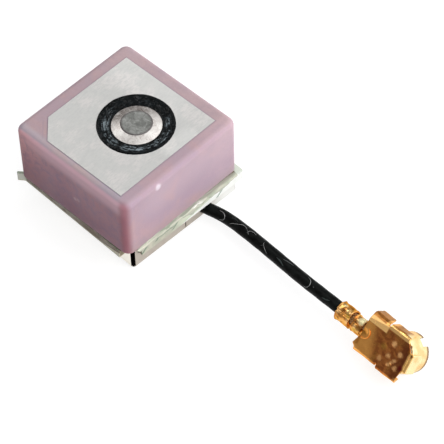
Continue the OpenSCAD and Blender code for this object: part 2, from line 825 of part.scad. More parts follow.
// Strip that the lid folds over on, from the front of the cup
module neck() {
    bend_u = neck_front - fold_r;
    bite = 0.04;
    translate([0, neck_w / 2, 0]) rotate([90, 0, 0]) linear_extrude(neck_w) {
        intersection() {
            translate([bend_u, lid_z - fold_r]) difference() {
                circle(fold_r);
                circle(fold_r - sheet_t);
            }
            translate([bend_u, lid_z - fold_r]) square(fold_r);
        }
        translate([neck_front - sheet_t - bite, -0.35])
            square([sheet_t + bite, lid_z - fold_r + 0.35]);
        translate([neck_front - 0.5, lid_under]) square([0.5 - fold_r, sheet_t]);
    }
}

// Cup and mating ring, turned about the ring's axis, with the ring's inner bead
module cup() {
    bead_z = 0.22 - mate_depth;
    difference() {
        union() {
            translate([0, 0, -mate_depth]) tube(mate_d / 2, mate_bore_r, mate_depth - cup_depth);
            translate([0, 0, -cup_depth]) tube(cup_r, cup_bore_r, cup_depth + cup_rim_z);
            rotate_extrude() translate([mate_bore_r + 0.02, bead_z]) circle(0.08, $fn = 24);
            translate([0, 0, -cup_depth]) tube(mate_d / 2, mate_bore_r - 0.06, 0.1);
        }
        for (a = [148, 212]) rotate(a)
            translate([0.9, -0.11, -mate_depth - cut]) cube([0.7, 0.22, ring_slot_h]);
        rotate(ring_slot_turn)
            translate([0.9, -ring_slot_w / 2, -mate_depth - cut])
                cube([0.7, ring_slot_w, ring_slot_h]);
        translate([-2, -0.55, -0.42]) cube([1.4, 1.1, cup_rim_z + 1]);
    }
}

// Trough under the stripped cable, from the cup back to the crimps
module throat() {
    floor_w = 1.1;
    floor_z = -braid_d / 2 - crimp_clear - sheet_t;
    difference() {
        union() {
            translate([-lid_rear, -floor_w / 2, floor_z]) cube([lid_rear - 1, floor_w, sheet_t]);
            for (s = [-1, 1])
                translate([-lid_rear, s * (floor_w - sheet_t) / 2 - sheet_t / 2, floor_z])
                    cube([lid_rear - 1.05, sheet_t, 0.32]);
            translate([braid_crimp_u - 0.1, -0.3, floor_z]) cube([throat_l + 0.3, 0.6, sheet_t]);
            translate([jacket_crimp_u - 0.1, -0.25, floor_z - 0.08])
                cube([crimp_gap + 0.25, 0.5, sheet_t + 0.06]);
        }
        cylinder(h = 4, r = cup_bore_r, center = true);
        plug_bar(jacket_crimp_u - 1, -lid_rear, braid_d / 2 + crimp_clear);
        plug_bar(jacket_crimp_u - 1, jacket_crimp_u, cable_d / 2 + crimp_clear);
    }
}

// Outer contact stamped from one sheet: mating ring, cup, neck, lid, flaps and both crimps
module plug_shell() {
    color(gold_c)
    on_plug() {
        cup();
        neck();
        lid_sheet();
        throat();
        crimp(braid_crimp_u - braid_crimp_l, braid_crimp_l, braid_crimp_r, crimp_wing + 0.12);
        crimp(jacket_crimp_u - jacket_crimp_l, jacket_crimp_l, crimp_r, crimp_wing);
    }
}

module plug_insulator() {
    floor_z = -cup_depth + 0.1;
    hub_r = contact_r + plug_clear + 0.18;
    hub_drop = mate_depth - 0.2;
    top_z = lid_under - plug_clear;
    channel_r = dielectric_d / 2 + plug_clear;
    color([0.88, 0.87, 0.82])
    on_plug() difference() {
        union() {
            translate([0, 0, floor_z]) cylinder(h = top_z - floor_z, r = insulator_r);
            translate([0, 0, -hub_drop]) cylinder(h = hub_drop, r = hub_r);
        }
        translate([0, 0, -hub_drop - cut])
            cylinder(h = hub_drop + top_z + 2 * cut, r = contact_r + plug_clear);
        plug_bar(-2, 0, channel_r);
        translate([-2, -channel_r, 0]) cube([2, 2 * channel_r, top_z + cut]);
    }
}

// Spring socket with two slots and a fork that holds the core
module plug_contact() {
    bore_r = contact_r - 0.12;
    tip_z = -mate_depth + 0.25;
    seat_z = -core_d / 2;
    color(gold_c)
    on_plug() {
        difference() {
            translate([0, 0, tip_z]) cylinder(h = seat_z - tip_z, r = contact_r);
            translate([0, 0, tip_z - cut]) cylinder(h = seat_z - tip_z - 0.15 + cut, r = bore_r);
            translate([-0.05, -1, tip_z - cut]) cube([0.1, 2, 0.75]);
        }
        for (s = [-1, 1])
            translate([-0.2, s * (core_d / 2 + 0.06) - 0.05, seat_z]) cube([0.4, 0.1, core_d + 0.04]);
    }
}

ceramic_block();
top_electrode();
feed_land();
insulating_ring();
ground_electrode();
feed_pin();
pin_top_solder();
adhesive_pad();
circuit_board();
ground_rim();
solder_pads();
pin_solder_joint();
shield_can();
can_solder();
amplifier_chip();
saw_filter();
chip_capacitors();
chip_inductors();
chip_resistors();
cable_jacket();
cable_braid();
cable_dielectric();
cable_core();
braid_solder();
core_solder();
plug_shell();
plug_insulator();
plug_contact();
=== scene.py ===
import json
import math

import bmesh
import bpy
from mathutils import Euler, Matrix, Vector, noise


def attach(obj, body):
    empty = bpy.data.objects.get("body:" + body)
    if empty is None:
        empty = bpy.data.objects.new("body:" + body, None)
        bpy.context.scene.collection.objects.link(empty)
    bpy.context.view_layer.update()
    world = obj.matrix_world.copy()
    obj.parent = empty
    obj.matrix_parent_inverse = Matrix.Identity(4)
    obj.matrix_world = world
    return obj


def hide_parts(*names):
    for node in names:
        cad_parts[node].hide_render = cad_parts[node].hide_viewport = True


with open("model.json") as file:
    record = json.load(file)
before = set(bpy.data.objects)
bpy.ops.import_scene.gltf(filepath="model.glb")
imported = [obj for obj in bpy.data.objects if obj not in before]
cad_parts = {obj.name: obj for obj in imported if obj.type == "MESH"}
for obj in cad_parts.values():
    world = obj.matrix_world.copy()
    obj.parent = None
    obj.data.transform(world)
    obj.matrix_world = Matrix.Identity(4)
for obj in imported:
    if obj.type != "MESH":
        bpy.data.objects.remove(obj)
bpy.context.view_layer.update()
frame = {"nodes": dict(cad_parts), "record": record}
nodes = frame["nodes"]
MM = 0.001

# Camera, solved on the photograph
CAM_POS = Vector((74.157, -61.940, 117.419)) * MM
CAM_RIGHT = Vector((0.70085, 0.71313, -0.01621))
CAM_UP = Vector((-0.55066, 0.55534, 0.62321))
CAM_BACK = Vector((0.45343, -0.42785, 0.78190))
CAM_LENS = 187.64
CAM_SENSOR = 36


def add_camera():
    data = bpy.data.cameras.new("camera")
    data.sensor_width = CAM_SENSOR
    data.lens = CAM_LENS
    data.clip_start = 0.01
    data.clip_end = 5
    camera = bpy.data.objects.new("camera", data)
    bpy.context.scene.collection.objects.link(camera)
    axes = Matrix((CAM_RIGHT, CAM_UP, CAM_BACK)).transposed().to_4x4()
    camera.matrix_world = Matrix.Translation(CAM_POS) @ axes
    bpy.context.scene.camera = camera


add_camera()
bpy.context.scene.view_settings.view_transform = "Standard"

# Places and sizes from the source, in mm
ROUTE = ((4.15, 1.95, 0.76), (4.95, 2.02, 0.75), (5.7, 2.19, 0.78), (6.8, 2.32, 0.84),
         (8.2, 2.32, 0.92), (9.7, 2.25, 1.01), (11.2, 2.15, 1.1), (12.7, 2.05, 1.2),
         (14.2, 1.97, 1.3), (15.7, 1.9, 1.42), (17.05, 1.844, 1.54), (18.2, 1.8, 1.64))
CABLE_R = 0.415
BOARD_TOP = 2.0
BOARD_EDGE = 5.15  # X of the board's edge on the cable side
CAN_AT = (0.16, 0.27, 0)
CAN_SIDE = 9.32
PAD_SIDE = 9.7
PAD_HEIGHT = 0.1
GROUND_T = 0.03  # the silver under the ceramic
BLOCK_H = 4.7
FACE_Z = BOARD_TOP + PAD_HEIGHT + GROUND_T + BLOCK_H  # top face of the ceramic
PATCH_AT = Vector((-0.04, -0.1, 0))  # middle of the ceramic, as given
PATCH_TURN = math.radians(1.8)
PRINT_AT = (0.05, -0.22)  # from there on in the ceramic's own frame
PRINT_X = 7.95
PRINT_Y = 8.4
PRINT_CUT = 1.4
FEED = (0.68, 0.32)
FEED_AT = (PATCH_AT.x + FEED[0] * math.cos(PATCH_TURN) - FEED[1] * math.sin(PATCH_TURN),
           PATCH_AT.y + FEED[0] * math.sin(PATCH_TURN) + FEED[1] * math.cos(PATCH_TURN))
RING_SHIFT = (-0.1, 0.04)
RING_R = 2.52
LAND_R = 1.65
PLUG_AT = Vector((22.083, 1.652, 1.978))
PLUG_TURN = Euler((math.radians(50), math.radians(-4.95), math.radians(-2.19)))
LID_Z = 0.6  # top of the plug's lid, in the plug's own frame


# Node helpers: each adds its nodes to the tree that its input sockets belong to
def material(name):
    """A new material and its Principled shader."""
    mat = bpy.data.materials.new(name)
    mat.use_nodes = True
    tree = mat.node_tree
    tree.nodes.clear()
    out = tree.nodes.new("ShaderNodeOutputMaterial")
    shader = tree.nodes.new("ShaderNodeBsdfPrincipled")
    tree.links.new(shader.outputs[0], out.inputs[0])
    return mat, shader


def add_node(kind, *values):
    """A new node in the tree of the first of the values that is a socket."""
    owner = next(value for value in values if isinstance(value, bpy.types.NodeSocket))
    return owner.id_data.nodes.new("ShaderNode" + kind)


def put(socket, value):
    """Links the value to the socket if it is a socket itself, or else sets it there."""
    if isinstance(value, bpy.types.NodeSocket):
        socket.id_data.links.new(value, socket)
    elif isinstance(value, tuple) and len(value) == 3 and socket.type == "RGBA":
        socket.default_value = (*value, 1)
    else:
        socket.default_value = value


def fill(node, *values):
    for socket, value in zip(node.inputs, values):
        put(socket, value)


def calc(op, *values):
    node = add_node("Math", *values)
    node.operation = op
    fill(node, *values)
    return node.outputs[0]


def chain(op, first, *others):
    """The operation done on the first value with each of the others in turn."""
    for value in others:
        first = calc(op, first, value)
    return first


def times(*values):
    return chain("MULTIPLY", *values)


def plus(*values):
    return chain("ADD", *values)


def minus(first, second):
    return calc("SUBTRACT", first, second)


def most(*values):
    return chain("MAXIMUM", *values)


def vec_calc(op, *values):
    node = add_node("VectorMath", *values)
    node.operation = op
    fill(node, *values)
    return node.outputs["Value"] if op in ("LENGTH", "DISTANCE", "DOT_PRODUCT") else node.outputs[0]


def moved(vec, by):
    return vec_calc("ADD", vec, by)


def level(vec):
    """The vector with nothing left of its Z."""
    return vec_calc("MULTIPLY", vec, (1, 1, 0))


def distance(vec, place):
    return vec_calc("DISTANCE", vec, place)


def mix(share, first, second, blend="MIX"):
    """The first colour with that share of the second one in it."""
    node = add_node("Mix", share, first, second)
    node.data_type = "RGBA"
    node.blend_type = blend
    put(node.inputs[0], share)
    put(node.inputs[6], first)
    put(node.inputs[7], second)
    return node.outputs[2]


def ramp(value, start, end, at_start=0.0, at_end=1.0):
    """A soft step from one result to the other while the value goes from start to end."""
    node = add_node("MapRange", value)
    node.interpolation_type = "SMOOTHSTEP"
    fill(node, value, start, end, at_start, at_end)
    return node.outputs[0]


def band(value, start, end, soft):
    """One inside start..end, falling to nothing over soft on each side."""
    return times(ramp(value, start - soft, start), ramp(value, end, end + soft, 1.0, 0.0))


def coords(mat, at=(0, 0, 0), turn=(0, 0, 0)):
    """Object coordinates in mm, in a frame with that place (in mm) and turn."""
    nodes_in = mat.node_tree.nodes
    node = nodes_in.new("ShaderNodeMapping")
    node.vector_type = "TEXTURE"
    put(node.inputs[0], nodes_in.new("ShaderNodeTexCoord").outputs["Object"])
    node.inputs["Location"].default_value = Vector(at) * MM
    node.inputs["Rotation"].default_value = turn
    node.inputs["Scale"].default_value = (MM, MM, MM)
    return node.outputs[0]


def split(vec):
    node = add_node("SeparateXYZ", vec)
    put(node.inputs[0], vec)
    return tuple(node.outputs)


def stretch(vec, scale):
    node = add_node("Mapping", vec)
    put(node.inputs[0], vec)
    node.inputs["Scale"].default_value = scale
    return node.outputs[0]


def grain(vec, scale, detail=2.0, rough=0.5, warp=0.0):
    """Noise with about that many lumps in a mm."""
    node = add_node("TexNoise", vec)
    put(node.inputs["Vector"], vec)
    node.inputs["Scale"].default_value = scale
    node.inputs["Detail"].default_value = detail
    node.inputs["Roughness"].default_value = rough
    node.inputs["Distortion"].default_value = warp
    return node.outputs[0]


def surface(shader, tone, rough, metal=0.0, specular=0.5):
    put(shader.inputs["Base Color"], tone)
    put(shader.inputs["Roughness"], rough)
    put(shader.inputs["Metallic"], metal)
    put(shader.inputs["Specular IOR Level"], specular)


def bump(shader, height, microns, strength):
    node = add_node("Bump", height)
    node.inputs["Strength"].default_value = strength
    node.inputs["Distance"].default_value = microns * 1e-6
    put(node.inputs["Height"], height)
    put(shader.inputs["Normal"], node.outputs[0])


# Materials: places and widths in them are in mm, in the frame that coords was given
def ceramic_body(at, blotch):
    """Mottled rose, lighter towards the far side."""
    y = split(at)[1]
    broad = grain(at, 0.28, 3, 0.6, 0.6)
    fine = grain(at, 8, 4, 0.65)
    tone = mix(ramp(broad, 0.34, 0.64), (0.465, 0.34, 0.42), (0.545, 0.36, 0.39))
    tone = mix(ramp(y, 0.5, 4.6, 0.0, 0.45), tone, (0.64, 0.47, 0.53))
    tone = mix(ramp(blotch, 0.4, 0.68, 0.0, 0.55), tone, (0.455, 0.345, 0.425))
    return mix(ramp(fine, 0.3, 0.75, 0.0, 0.22), tone, (0.40, 0.27, 0.32))


def ceramic_shaded_side(tone, at):
    """The side towards -Y: a duskier rose, with painted shade below and towards the left corner, and
    painted light in its upper part.
    """
    x, y, z = split(at)
    side = ramp(y, -4.76, -4.98)
    # painted light in the upper part of this side, towards its left end
    painted_light_upper_left = times(ramp(x, -0.5, -5.0), ramp(z, 3.0, 6.4))
    dusk = mix(painted_light_upper_left, (0.49, 0.27, 0.325), (0.80, 0.49, 0.54))
    patchy = grain(moved(at, (2, 8, 4)), 1.7, 4, 0.7, 0.5)
    dusk = mix(ramp(patchy, 0.42, 0.68, 0.0, 0.65), dusk, (0.30, 0.22, 0.34))
    dusk = mix(ramp(patchy, 0.46, 0.30, 0.0, 0.5), dusk, (0.50, 0.23, 0.24))
    tone = mix(times(side, 0.85), tone, dusk)
    # painted shade: darker towards the bottom of this side
    low = times(side, ramp(z, 2.2, 5.5, 0.62, 0.0), ramp(x, 1.2, 3.4, 1.0, 0.5))
    tone = mix(low, tone, (0.27, 0.145, 0.19))
    # painted light along the top of this side
    painted_light_top = times(side, ramp(z, 5.35, 6.3), ramp(x, -4.6, -3.0, 0.5, 0.95))
    tone = mix(painted_light_top, tone, (0.80, 0.53, 0.61))
    # painted shade: redder and darker towards the left corner
    left = times(side, ramp(x, -1.5, -4.5))
    return mix(left, tone, (1.0, 0.88, 0.84), "MULTIPLY")


def ceramic_cable_side(tone, at):
    """The side towards the cable: painted light in its upper part, painted shade near the board, and a dark
    crimson band of painted shade along the front edge.
    """
    x, y, z = split(at)
    side = times(ramp(x, 4.75, 4.95), ramp(z, 6.72, 6.4))
    # painted light: lighter in the upper part, more so towards the far side
    high = times(side, ramp(z, 3.4, 5.6, 0.0, 0.24), ramp(y, -4.5, -2.0, 0.2, 1.0))
    tone = mix(high, tone, (0.82, 0.64, 0.69))
    # painted shade: darker near the board
    tone = mix(times(side, ramp(z, 3.3, 2.2, 0.0, 0.3)), tone, (0.34, 0.27, 0.27))
    # painted shade: a dark crimson band down the front edge
    reach = distance(level(at), (4.82, -5.0, 0))
    front_edge_shade = times(ramp(y, -4.2, -4.95), ramp(reach, 0.1, 0.7, 0.75, 0.0))
    return mix(front_edge_shade, tone, (0.38, 0.13, 0.165))


def ceramic_top(tone, at):
    """The top face: greyer, less so at its -Y and cable-side edges, which is painted light; with a line of
    painted shade round the silver and a faint line past its cut corner.
    """
    x, y, z = split(at)
    top = ramp(z, 6.7, 6.8)
    # painted light: the tint is paler along the -Y edge and the cable-side edge
    tint = mix(ramp(y, -4.2, -4.5), (0.84, 0.87, 0.81), (0.86, 1.0, 0.94))
    tint = mix(ramp(x, 3.9, 4.3), tint, (0.93, 0.94, 0.89))
    tone = mix(top, tone, tint, "MULTIPLY")
    print_x = minus(x, PRINT_AT[0])
    print_y = minus(y, PRINT_AT[1])
    past_x = minus(calc("ABSOLUTE", print_x), PRINT_X / 2)
    past_y = minus(calc("ABSOLUTE", print_y), PRINT_Y / 2)
    towards_cut = times(plus(print_x, print_y), -1.0)
    past_cut = times(minus(towards_cut, (PRINT_X + PRINT_Y) / 2 - PRINT_CUT), math.sqrt(0.5))
    # painted shade along the silver's edge
    line = times(top, ramp(most(past_x, past_y, past_cut), 0.02, 0.12, 0.55, 0.0))
    tone = mix(line, tone, (0.23, 0.19, 0.25))
    inside = times(ramp(past_x, 0.12, 0.02), ramp(past_y, 0.12, 0.02))
    faint = times(top, inside, band(past_cut, 0.30, 0.33, 0.05), 0.25)
    return mix(faint, tone, (0.27, 0.22, 0.30))


# painted highlights, pale spots on the glaze: place, radius, strength
PAINTED_GLINTS = (
    ((4.97, -2.12, 6.42), 0.32, 0.85),
    ((0.3, -5.0, 3.95), 0.2, 0.28),
    ((0.6, -5.0, 4.05), 0.2, 0.2),
)


def ceramic_material():
    """Rose ceramic whose faces differ a little in tone, partly by painted light and shade, in the block's
    own frame.
    """
    mat, shader = material("ceramic")
    at = coords(mat, PATCH_AT, (0, 0, PATCH_TURN))
    blotch = grain(moved(at, (7, 3, 5)), 0.8, 4, 0.6, 0.4)
    tone = ceramic_body(at, blotch)
    for face in (ceramic_shaded_side, ceramic_cable_side, ceramic_top):
        tone = face(tone, at)
    # painted highlights on the glaze
    for place, size, amount in PAINTED_GLINTS:
        tone = mix(ramp(distance(at, place), size * 0.35, size, amount, 0.0), tone, (0.86, 0.76, 0.84))
    surface(shader, tone, ramp(blotch, 0.3, 0.7, 0.5, 0.64), specular=0.21)
    shader.inputs["Subsurface Weight"].default_value = 0.12
    shader.inputs["Subsurface Radius"].default_value = (1.0, 0.7, 0.8)
    shader.inputs["Subsurface Scale"].default_value = 0.4 * MM
    bump(shader, plus(grain(at, 1.6, 3, 0.55), times(grain(at, 22, 3, 0.7), 0.10)), 22, 0.7)
    return mat


def silver_material():
    """Fired silver with a brushed weave, in the ceramic's frame."""
    mat, shader = material("fired_silver")
    at = coords(mat, PATCH_AT, (0, 0, PATCH_TURN))
    x, y, _ = split(at)
    cloud = grain(at, 0.7, 5, 0.62, 0.3)
    weave = grain(stretch(at, (9, 2.5, 5)), 1.0, 4, 0.7)
    speck = grain(at, 26, 3, 0.7)
    tone = mix(ramp(cloud, 0.42, 0.60), (0.555, 0.555, 0.54), (0.63, 0.61, 0.595))
    tone = mix(ramp(weave, 0.42, 0.64, 0.0, 0.7), tone, (0.51, 0.51, 0.50))
    tone = mix(ramp(speck, 0.45, 0.75, 0.0, 0.35), tone, (0.44, 0.44, 0.43))
    # painted sheen: paler towards the far side and the cable side
    far_side = times(ramp(y, 1.2, 2.9), ramp(x, 0.8, 2.6, 1.0, 0.25))
    cable_side = times(ramp(x, 2.5, 3.5), band(y, 0.4, 2.1, 0.9))
    tone = mix(most(far_side, cable_side), tone, (1.14, 1.14, 1.14), "MULTIPLY")
    surface(shader, tone, ramp(cloud, 0.3, 0.7, 0.52, 0.66), 0.18, 0.3)
    bump(shader, plus(times(cloud, 0.5), times(speck, 0.3)), 12, 0.6)
    return mat


def plain_material(name, low, high, scale, rough, metal=0.0, microns=4.0):
    """A surface whose colour, gloss and relief vary a little with one noise."""
    mat, shader = material(name)
    at = coords(mat)
    cloud = grain(at, scale, 4, 0.6)
    tone = mix(ramp(cloud, 0.3, 0.7), low, high)
    surface(shader, tone, ramp(cloud, 0.2, 0.8, rough - 0.06, rough + 0.06), metal)
    bump(shader, grain(at, scale * 3, 3, 0.6), microns, 0.5)
    return mat


def pin_material():
    """Dull turned metal with a dark rim, in a frame at the feed."""
    mat, shader = material("pin_metal")
    at = coords(mat, (*FEED_AT, 0))
    cloud = grain(at, 2.3, 5, 0.72, 0.9)
    turned = grain(stretch(at, (3, 9, 3)), 1.3, 3, 0.6)
    tone = mix(ramp(cloud, 0.32, 0.68), (0.13, 0.135, 0.125), (0.33, 0.335, 0.32))
    tone = mix(ramp(turned, 0.4, 0.7, 0.0, 0.5), tone, (0.12, 0.125, 0.115))
    reach = vec_calc("LENGTH", level(at))
    tone = mix(ramp(reach, 0.86, 1.03, 0.0, 0.75), tone, (0.085, 0.07, 0.072))
    surface(shader, tone, 0.48, 0.45)
    bump(shader, plus(cloud, times(turned, 0.4)), 18, 0.7)
    return mat


def solder_material():
    """Bright mottled solder with painted shade, darker and mottled, on the side away from the cable, in a
    frame at the feed.
    """
    mat, shader = material("solder")
    at = coords(mat, (*FEED_AT, 0))
    cloud = grain(at, 1.8, 4, 0.62, 0.5)
    speck = grain(at, 9, 3, 0.7)
    mottle = grain(at, 3.4, 4, 0.7, 0.6)
    tone = mix(ramp(cloud, 0.3, 0.7), (0.56, 0.52, 0.495), (0.80, 0.78, 0.75))
    way = vec_calc("NORMALIZE", level(at))
    # painted shade on the slope away from the cable
    shade_away = ramp(vec_calc("DOT_PRODUCT", way, (-0.94, 0.34, 0.0)), -0.25, 0.8)
    tone = mix(times(shade_away, ramp(mottle, 0.35, 0.6, 0.3, 0.95)), tone, (0.21, 0.18, 0.165))
    tone = mix(ramp(speck, 0.52, 0.7, 0.0, 0.6), tone, (0.33, 0.30, 0.27))
    surface(shader, tone, ramp(cloud, 0.3, 0.7, 0.26, 0.42), 0.5)
    bump(shader, plus(cloud, times(speck, 0.25)), 30, 0.7)
    return mat


# dark strokes that lean across the board's cut edge: Y and Z of the middle
STROKES = ((-3.76, 1.5), (-2.37, 1.87), (-0.9, 1.75), (3.0, 1.5))


def board_cable_edge(tone, at, drift):
    """The cut edge on the cable side: pale, mint where clean, with painted light that makes it paler mint
    at the far corner and near white below.
    """
    x, y, z = split(at)
    side = ramp(x, 5.0, 5.1)
    clean = ramp(plus(y, times(drift, 3.0)), -0.4, 2.0)
    pale = mix(clean, (0.47, 0.47, 0.37), (0.66, 0.74, 0.58))
    pale = mix(ramp(drift, 0.45, 0.62, 0.0, 0.5), pale, (0.70, 0.66, 0.54))
    # painted light: paler mint towards the far corner
    pale = mix(ramp(y, 2.6, 4.4), pale, (0.80, 0.92, 0.78))
    # painted light: near white below a line that rises towards the far end
    painted_light_line = plus(times(y, 0.16), times(drift, 0.2))
    pale = mix(ramp(minus(z, painted_light_line), 1.32, 1.22, 0.0, 0.95), pale, (0.97, 0.98, 0.95))
    tone = mix(side, tone, pale)
    for mid, height in STROKES:
        lean = minus(minus(y, mid), times(minus(z, height), 1.1))
        stroke = times(band(lean, -0.05, 0.05, 0.12), band(z, height - 0.2, height + 0.25, 0.1))
        tone = mix(times(stroke, side, 0.75), tone, (0.10, 0.19, 0.11))
    return tone


def board_shaded_edge(tone, at, drift, layers):
    """The edge towards -Y: dark brown painted shade, a pale left corner of painted light, and a pale hem
    below.
    """
    x, y, z = split(at)
    side = ramp(y, -4.9, -4.99)
    # painted shade: this edge is made dark brown
    shade_brown = mix(ramp(layers, 0.4, 0.6), (0.075, 0.042, 0.014), (0.145, 0.09, 0.038))
    tone = mix(times(side, ramp(drift, 0.40, 0.54, 0.45, 0.97)), tone, shade_brown)
    # painted light: a pale left corner
    tone = mix(ramp(x, -4.55, -4.8, 0.0, 0.9), tone, (0.78, 0.79, 0.70))
    lift = ramp(x, 2.4, 4.4, 0.0, 0.3)
    hem = times(side, ramp(minus(z, lift), 1.44, 1.34, 0.0, 0.85))
    return mix(hem, tone, (0.70, 0.66, 0.50))


def board_material():
    """Brown laminate whose edges and top face have tones of their own, partly painted light and shade."""
    mat, shader = material("board_laminate")
    at = coords(mat)
    _, y, z = split(at)
    layers = grain(stretch(at, (0.9, 0.9, 9)), 1.6, 4, 0.6)
    drift = grain(at, 1.1, 4, 0.65, 0.5)
    tone = mix(ramp(layers, 0.35, 0.65), (0.19, 0.145, 0.08), (0.31, 0.26, 0.165))
    tone = mix(ramp(z, 1.42, 1.32, 0.0, 0.8), tone, (0.62, 0.55, 0.40))
    tone = board_cable_edge(tone, at, drift)
    tone = board_shaded_edge(tone, at, drift, layers)
    # painted light: the top face turns pale towards the far corner
    face = mix(ramp(y, 2.0, 4.5), (0.24, 0.30, 0.21), (0.72, 0.80, 0.70))
    tone = mix(ramp(z, BOARD_TOP - 0.015, BOARD_TOP - 0.005, 0.0, 0.85), tone, face)
    surface(shader, tone, ramp(drift, 0.3, 0.7, 0.3, 0.5))
    bump(shader, plus(layers, times(drift, 1.2)), 25, 0.7)
    return mat


def adhesive_material():
    """Cream and green adhesive, brown on the three sides that have no bead."""
    mat, shader = material("adhesive")
    at = coords(mat)
    x, y, z = split(at)
    cloud = grain(stretch(at, (3, 0.9, 5)), 1.3, 4, 0.6, 0.8)
    green = grain(stretch(moved(at, (3, 9, 1)), (3, 0.7, 5)), 1.1, 3, 0.6, 0.5)
    tone = mix(ramp(cloud, 0.35, 0.65), (0.80, 0.77, 0.64), (0.60, 0.64, 0.50))
    tone = mix(ramp(y, -4.0, -2.0, 0.0, 0.45), tone, (0.30, 0.32, 0.25))
    strokes = times(ramp(green, 0.52, 0.58, 0.0, 0.8), ramp(y, 0.0, 3.0, 1.0, 0.4))
    tone = mix(strokes, tone, (0.22, 0.28, 0.19))
    # shade close under the ceramic
    shade_under_ceramic = times(ramp(z, 2.03, 2.08), ramp(y, -2.5, 1.0, 0.35, 0.85))
    tone = mix(shade_under_ceramic, tone, (0.24, 0.23, 0.19))
    tone = mix(ramp(x, 4.95, 4.8, 0.0, 0.95), tone, (0.085, 0.058, 0.024))
    # a painted highlight beside the cable
    off_glint = vec_calc("MULTIPLY", moved(at, (-5.1, -0.95, -1.95)), (1, 0.5, 2))
    glint = times(ramp(vec_calc("LENGTH", off_glint), 0.1, 0.45, 1.0, 0.0), ramp(cloud, 0.4, 0.6))
    tone = mix(glint, tone, (0.93, 0.93, 0.88))
    surface(shader, tone, ramp(cloud, 0.3, 0.7, 0.16, 0.34))
    bump(shader, plus(cloud, green), 40, 0.8)
    return mat


def tin_material():
    """Drawn tin plate, with painted light that makes it bright towards -Y and at the far end of the cable
    side, and painted shade that makes it dark inside the can.
    """
    mat, shader = material("tin_plate")
    at = coords(mat)
    x, y, z = split(at)
    cloud = grain(at, 0.9, 4, 0.6, 0.5)
    drawn = grain(stretch(at, (0.8, 0.8, 7)), 1.5, 3, 0.6)
    tone = mix(ramp(cloud, 0.35, 0.65), (0.46, 0.405, 0.345), (0.54, 0.485, 0.42))
    tone = mix(ramp(drawn, 0.45, 0.75, 0.0, 0.4), tone, (0.47, 0.43, 0.37))
    # painted light: bright towards -Y
    tone = mix(ramp(y, -4.3, -4.36), tone, (0.92, 0.88, 0.80))
    # painted shade: dark inside the can
    off_x, off_y, _ = split(vec_calc("ABSOLUTE", vec_calc("SUBTRACT", at, CAN_AT)))
    depth = minus(CAN_SIDE / 2, most(off_x, off_y))
    inside = times(ramp(depth, 0.03, 0.07), ramp(z, 0.03, 0.06))
    tone = mix(inside, tone, (0.012, 0.010, 0.009))
    # painted light: near white at the far end of the cable side
    bright = times(ramp(x, 4.5, 4.7), ramp(y, 1.0, 4.0, 0.0, 0.85))
    tone = mix(bright, tone, (0.95, 0.96, 0.93))
    surface(shader, tone, ramp(cloud, 0.3, 0.7, 0.36, 0.5), ramp(y, -4.3, -4.36, 0.45, 0.95))
    bump(shader, plus(cloud, times(drawn, 0.4)), 14, 0.7)
    return mat


